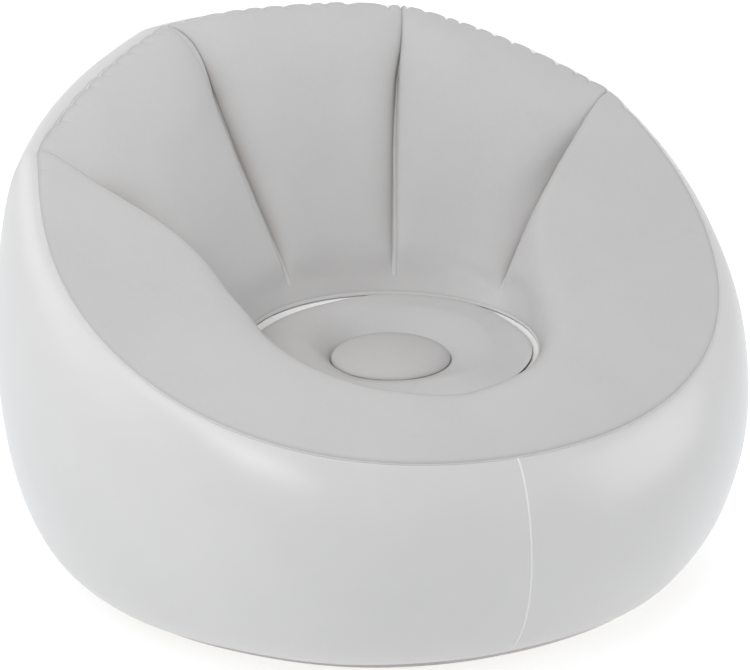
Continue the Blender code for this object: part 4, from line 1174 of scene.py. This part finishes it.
def build_world():
    """No light for the object, and plain white where the world is looked at or mirrored."""
    world = bpy.data.worlds.new("studio")
    bpy.context.scene.world = world
    world.use_nodes = True
    tree = world.node_tree
    path = add(tree, "ShaderNodeLightPath")
    seen = math_node(tree, "MAXIMUM", path.outputs["Is Camera Ray"], path.outputs["Is Glossy Ray"])
    seen = math_node(tree, "MAXIMUM", seen, path.outputs["Is Transmission Ray"])
    lit = add(tree, "ShaderNodeBackground", {"Color": (1.0, 0.985, 0.975, 1), "Strength": 0.0})
    shown = add(tree, "ShaderNodeBackground", {"Color": (1, 1, 1, 1), "Strength": 1.0})
    mix = add(tree, "ShaderNodeMixShader")
    tree.links.new(seen, mix.inputs[0])
    tree.links.new(lit.outputs[0], mix.inputs[1])
    tree.links.new(shown.outputs[0], mix.inputs[2])
    tree.links.new(mix.outputs[0], tree.nodes["World Output"].inputs["Surface"])


def area_light(name, place_at, target, size, power):
    """A square soft box that looks at a point."""
    data = bpy.data.lights.new(name, "AREA")
    data.size = size
    data.energy = power
    made = bpy.data.objects.new(name, data)
    bpy.context.scene.collection.objects.link(made)
    made.location = place_at
    made.rotation_euler = (Vector(target) - Vector(place_at)).to_track_quat("-Z", "Y").to_euler()


build_floor()
build_world()
LAMP_TARGET = (0, 0, 0.3)
LAMPS = {   # where, size in metres, watts
    "key": ((-1.7, -1.2, 3.0), 2.0, 28.0),
    "top": ((0.0, 0.0, 3.4), 2.2, 22.5),
    "left": ((-3.0, 0.2, 1.6), 2.5, 20.6),
    "left_box": ((-1.95, -2.3, 2.05), 1.1, 22.0),
    "front": ((-1.6, -2.9, 1.2), 2.0, 3.5),
    "right_low": ((2.6, -1.6, 1.0), 2.0, 33.5),
    "back_left": ((-2.2, 2.2, 2.0), 2.2, 14.2),
    "back_right": ((2.2, 2.2, 2.0), 2.2, 32.0),
}
for lamp, (lamp_at, lamp_size, watts) in LAMPS.items():
    area_light(lamp, lamp_at, LAMP_TARGET, lamp_size, watts)

# %% [markdown]
# ## Camera
#
# The camera's angles, distance, focal length and shift were worked out from the photograph's outline,
# rim, seams and seat hole.

# %% Camera
CAMERA_AZIMUTH, CAMERA_ELEVATION, CAMERA_DISTANCE = -23.829, 20.157, 3.4115
FOCAL_PX, CENTRE_PX, SIZE_PX = 2504.96, (375.365, 340.214), (750, 670)
LOOK_AT = Vector((0, 0, 0.3))
SENSOR_WIDTH = 36


def build_camera(azimuth, elevation, distance, focal_px, centre_px, size_px):
    """A camera that looks along -back at a point on the chair's axis, its shift from the centre."""
    a, e = math.radians(azimuth), math.radians(elevation)
    back = Vector((math.sin(a) * math.cos(e), -math.cos(a) * math.cos(e), math.sin(e)))
    right = Vector((math.cos(a), math.sin(a), 0))
    up = back.cross(right)
    where = LOOK_AT + back * distance
    data = bpy.data.cameras.new("camera")
    data.sensor_width = SENSOR_WIDTH
    data.lens = focal_px / size_px[0] * SENSOR_WIDTH
    data.shift_x = (size_px[0] / 2 - centre_px[0]) / size_px[0]
    data.shift_y = (centre_px[1] - size_px[1] / 2) / size_px[0]
    made = bpy.data.objects.new("camera", data)
    bpy.context.scene.collection.objects.link(made)
    made.matrix_world = Matrix((
        (right.x, up.x, back.x, where.x),
        (right.y, up.y, back.y, where.y),
        (right.z, up.z, back.z, where.z),
        (0, 0, 0, 1)))
    bpy.context.scene.camera = made


build_camera(CAMERA_AZIMUTH, CAMERA_ELEVATION, CAMERA_DISTANCE, FOCAL_PX, CENTRE_PX, SIZE_PX)
bpy.context.scene.view_settings.view_transform = "Standard"
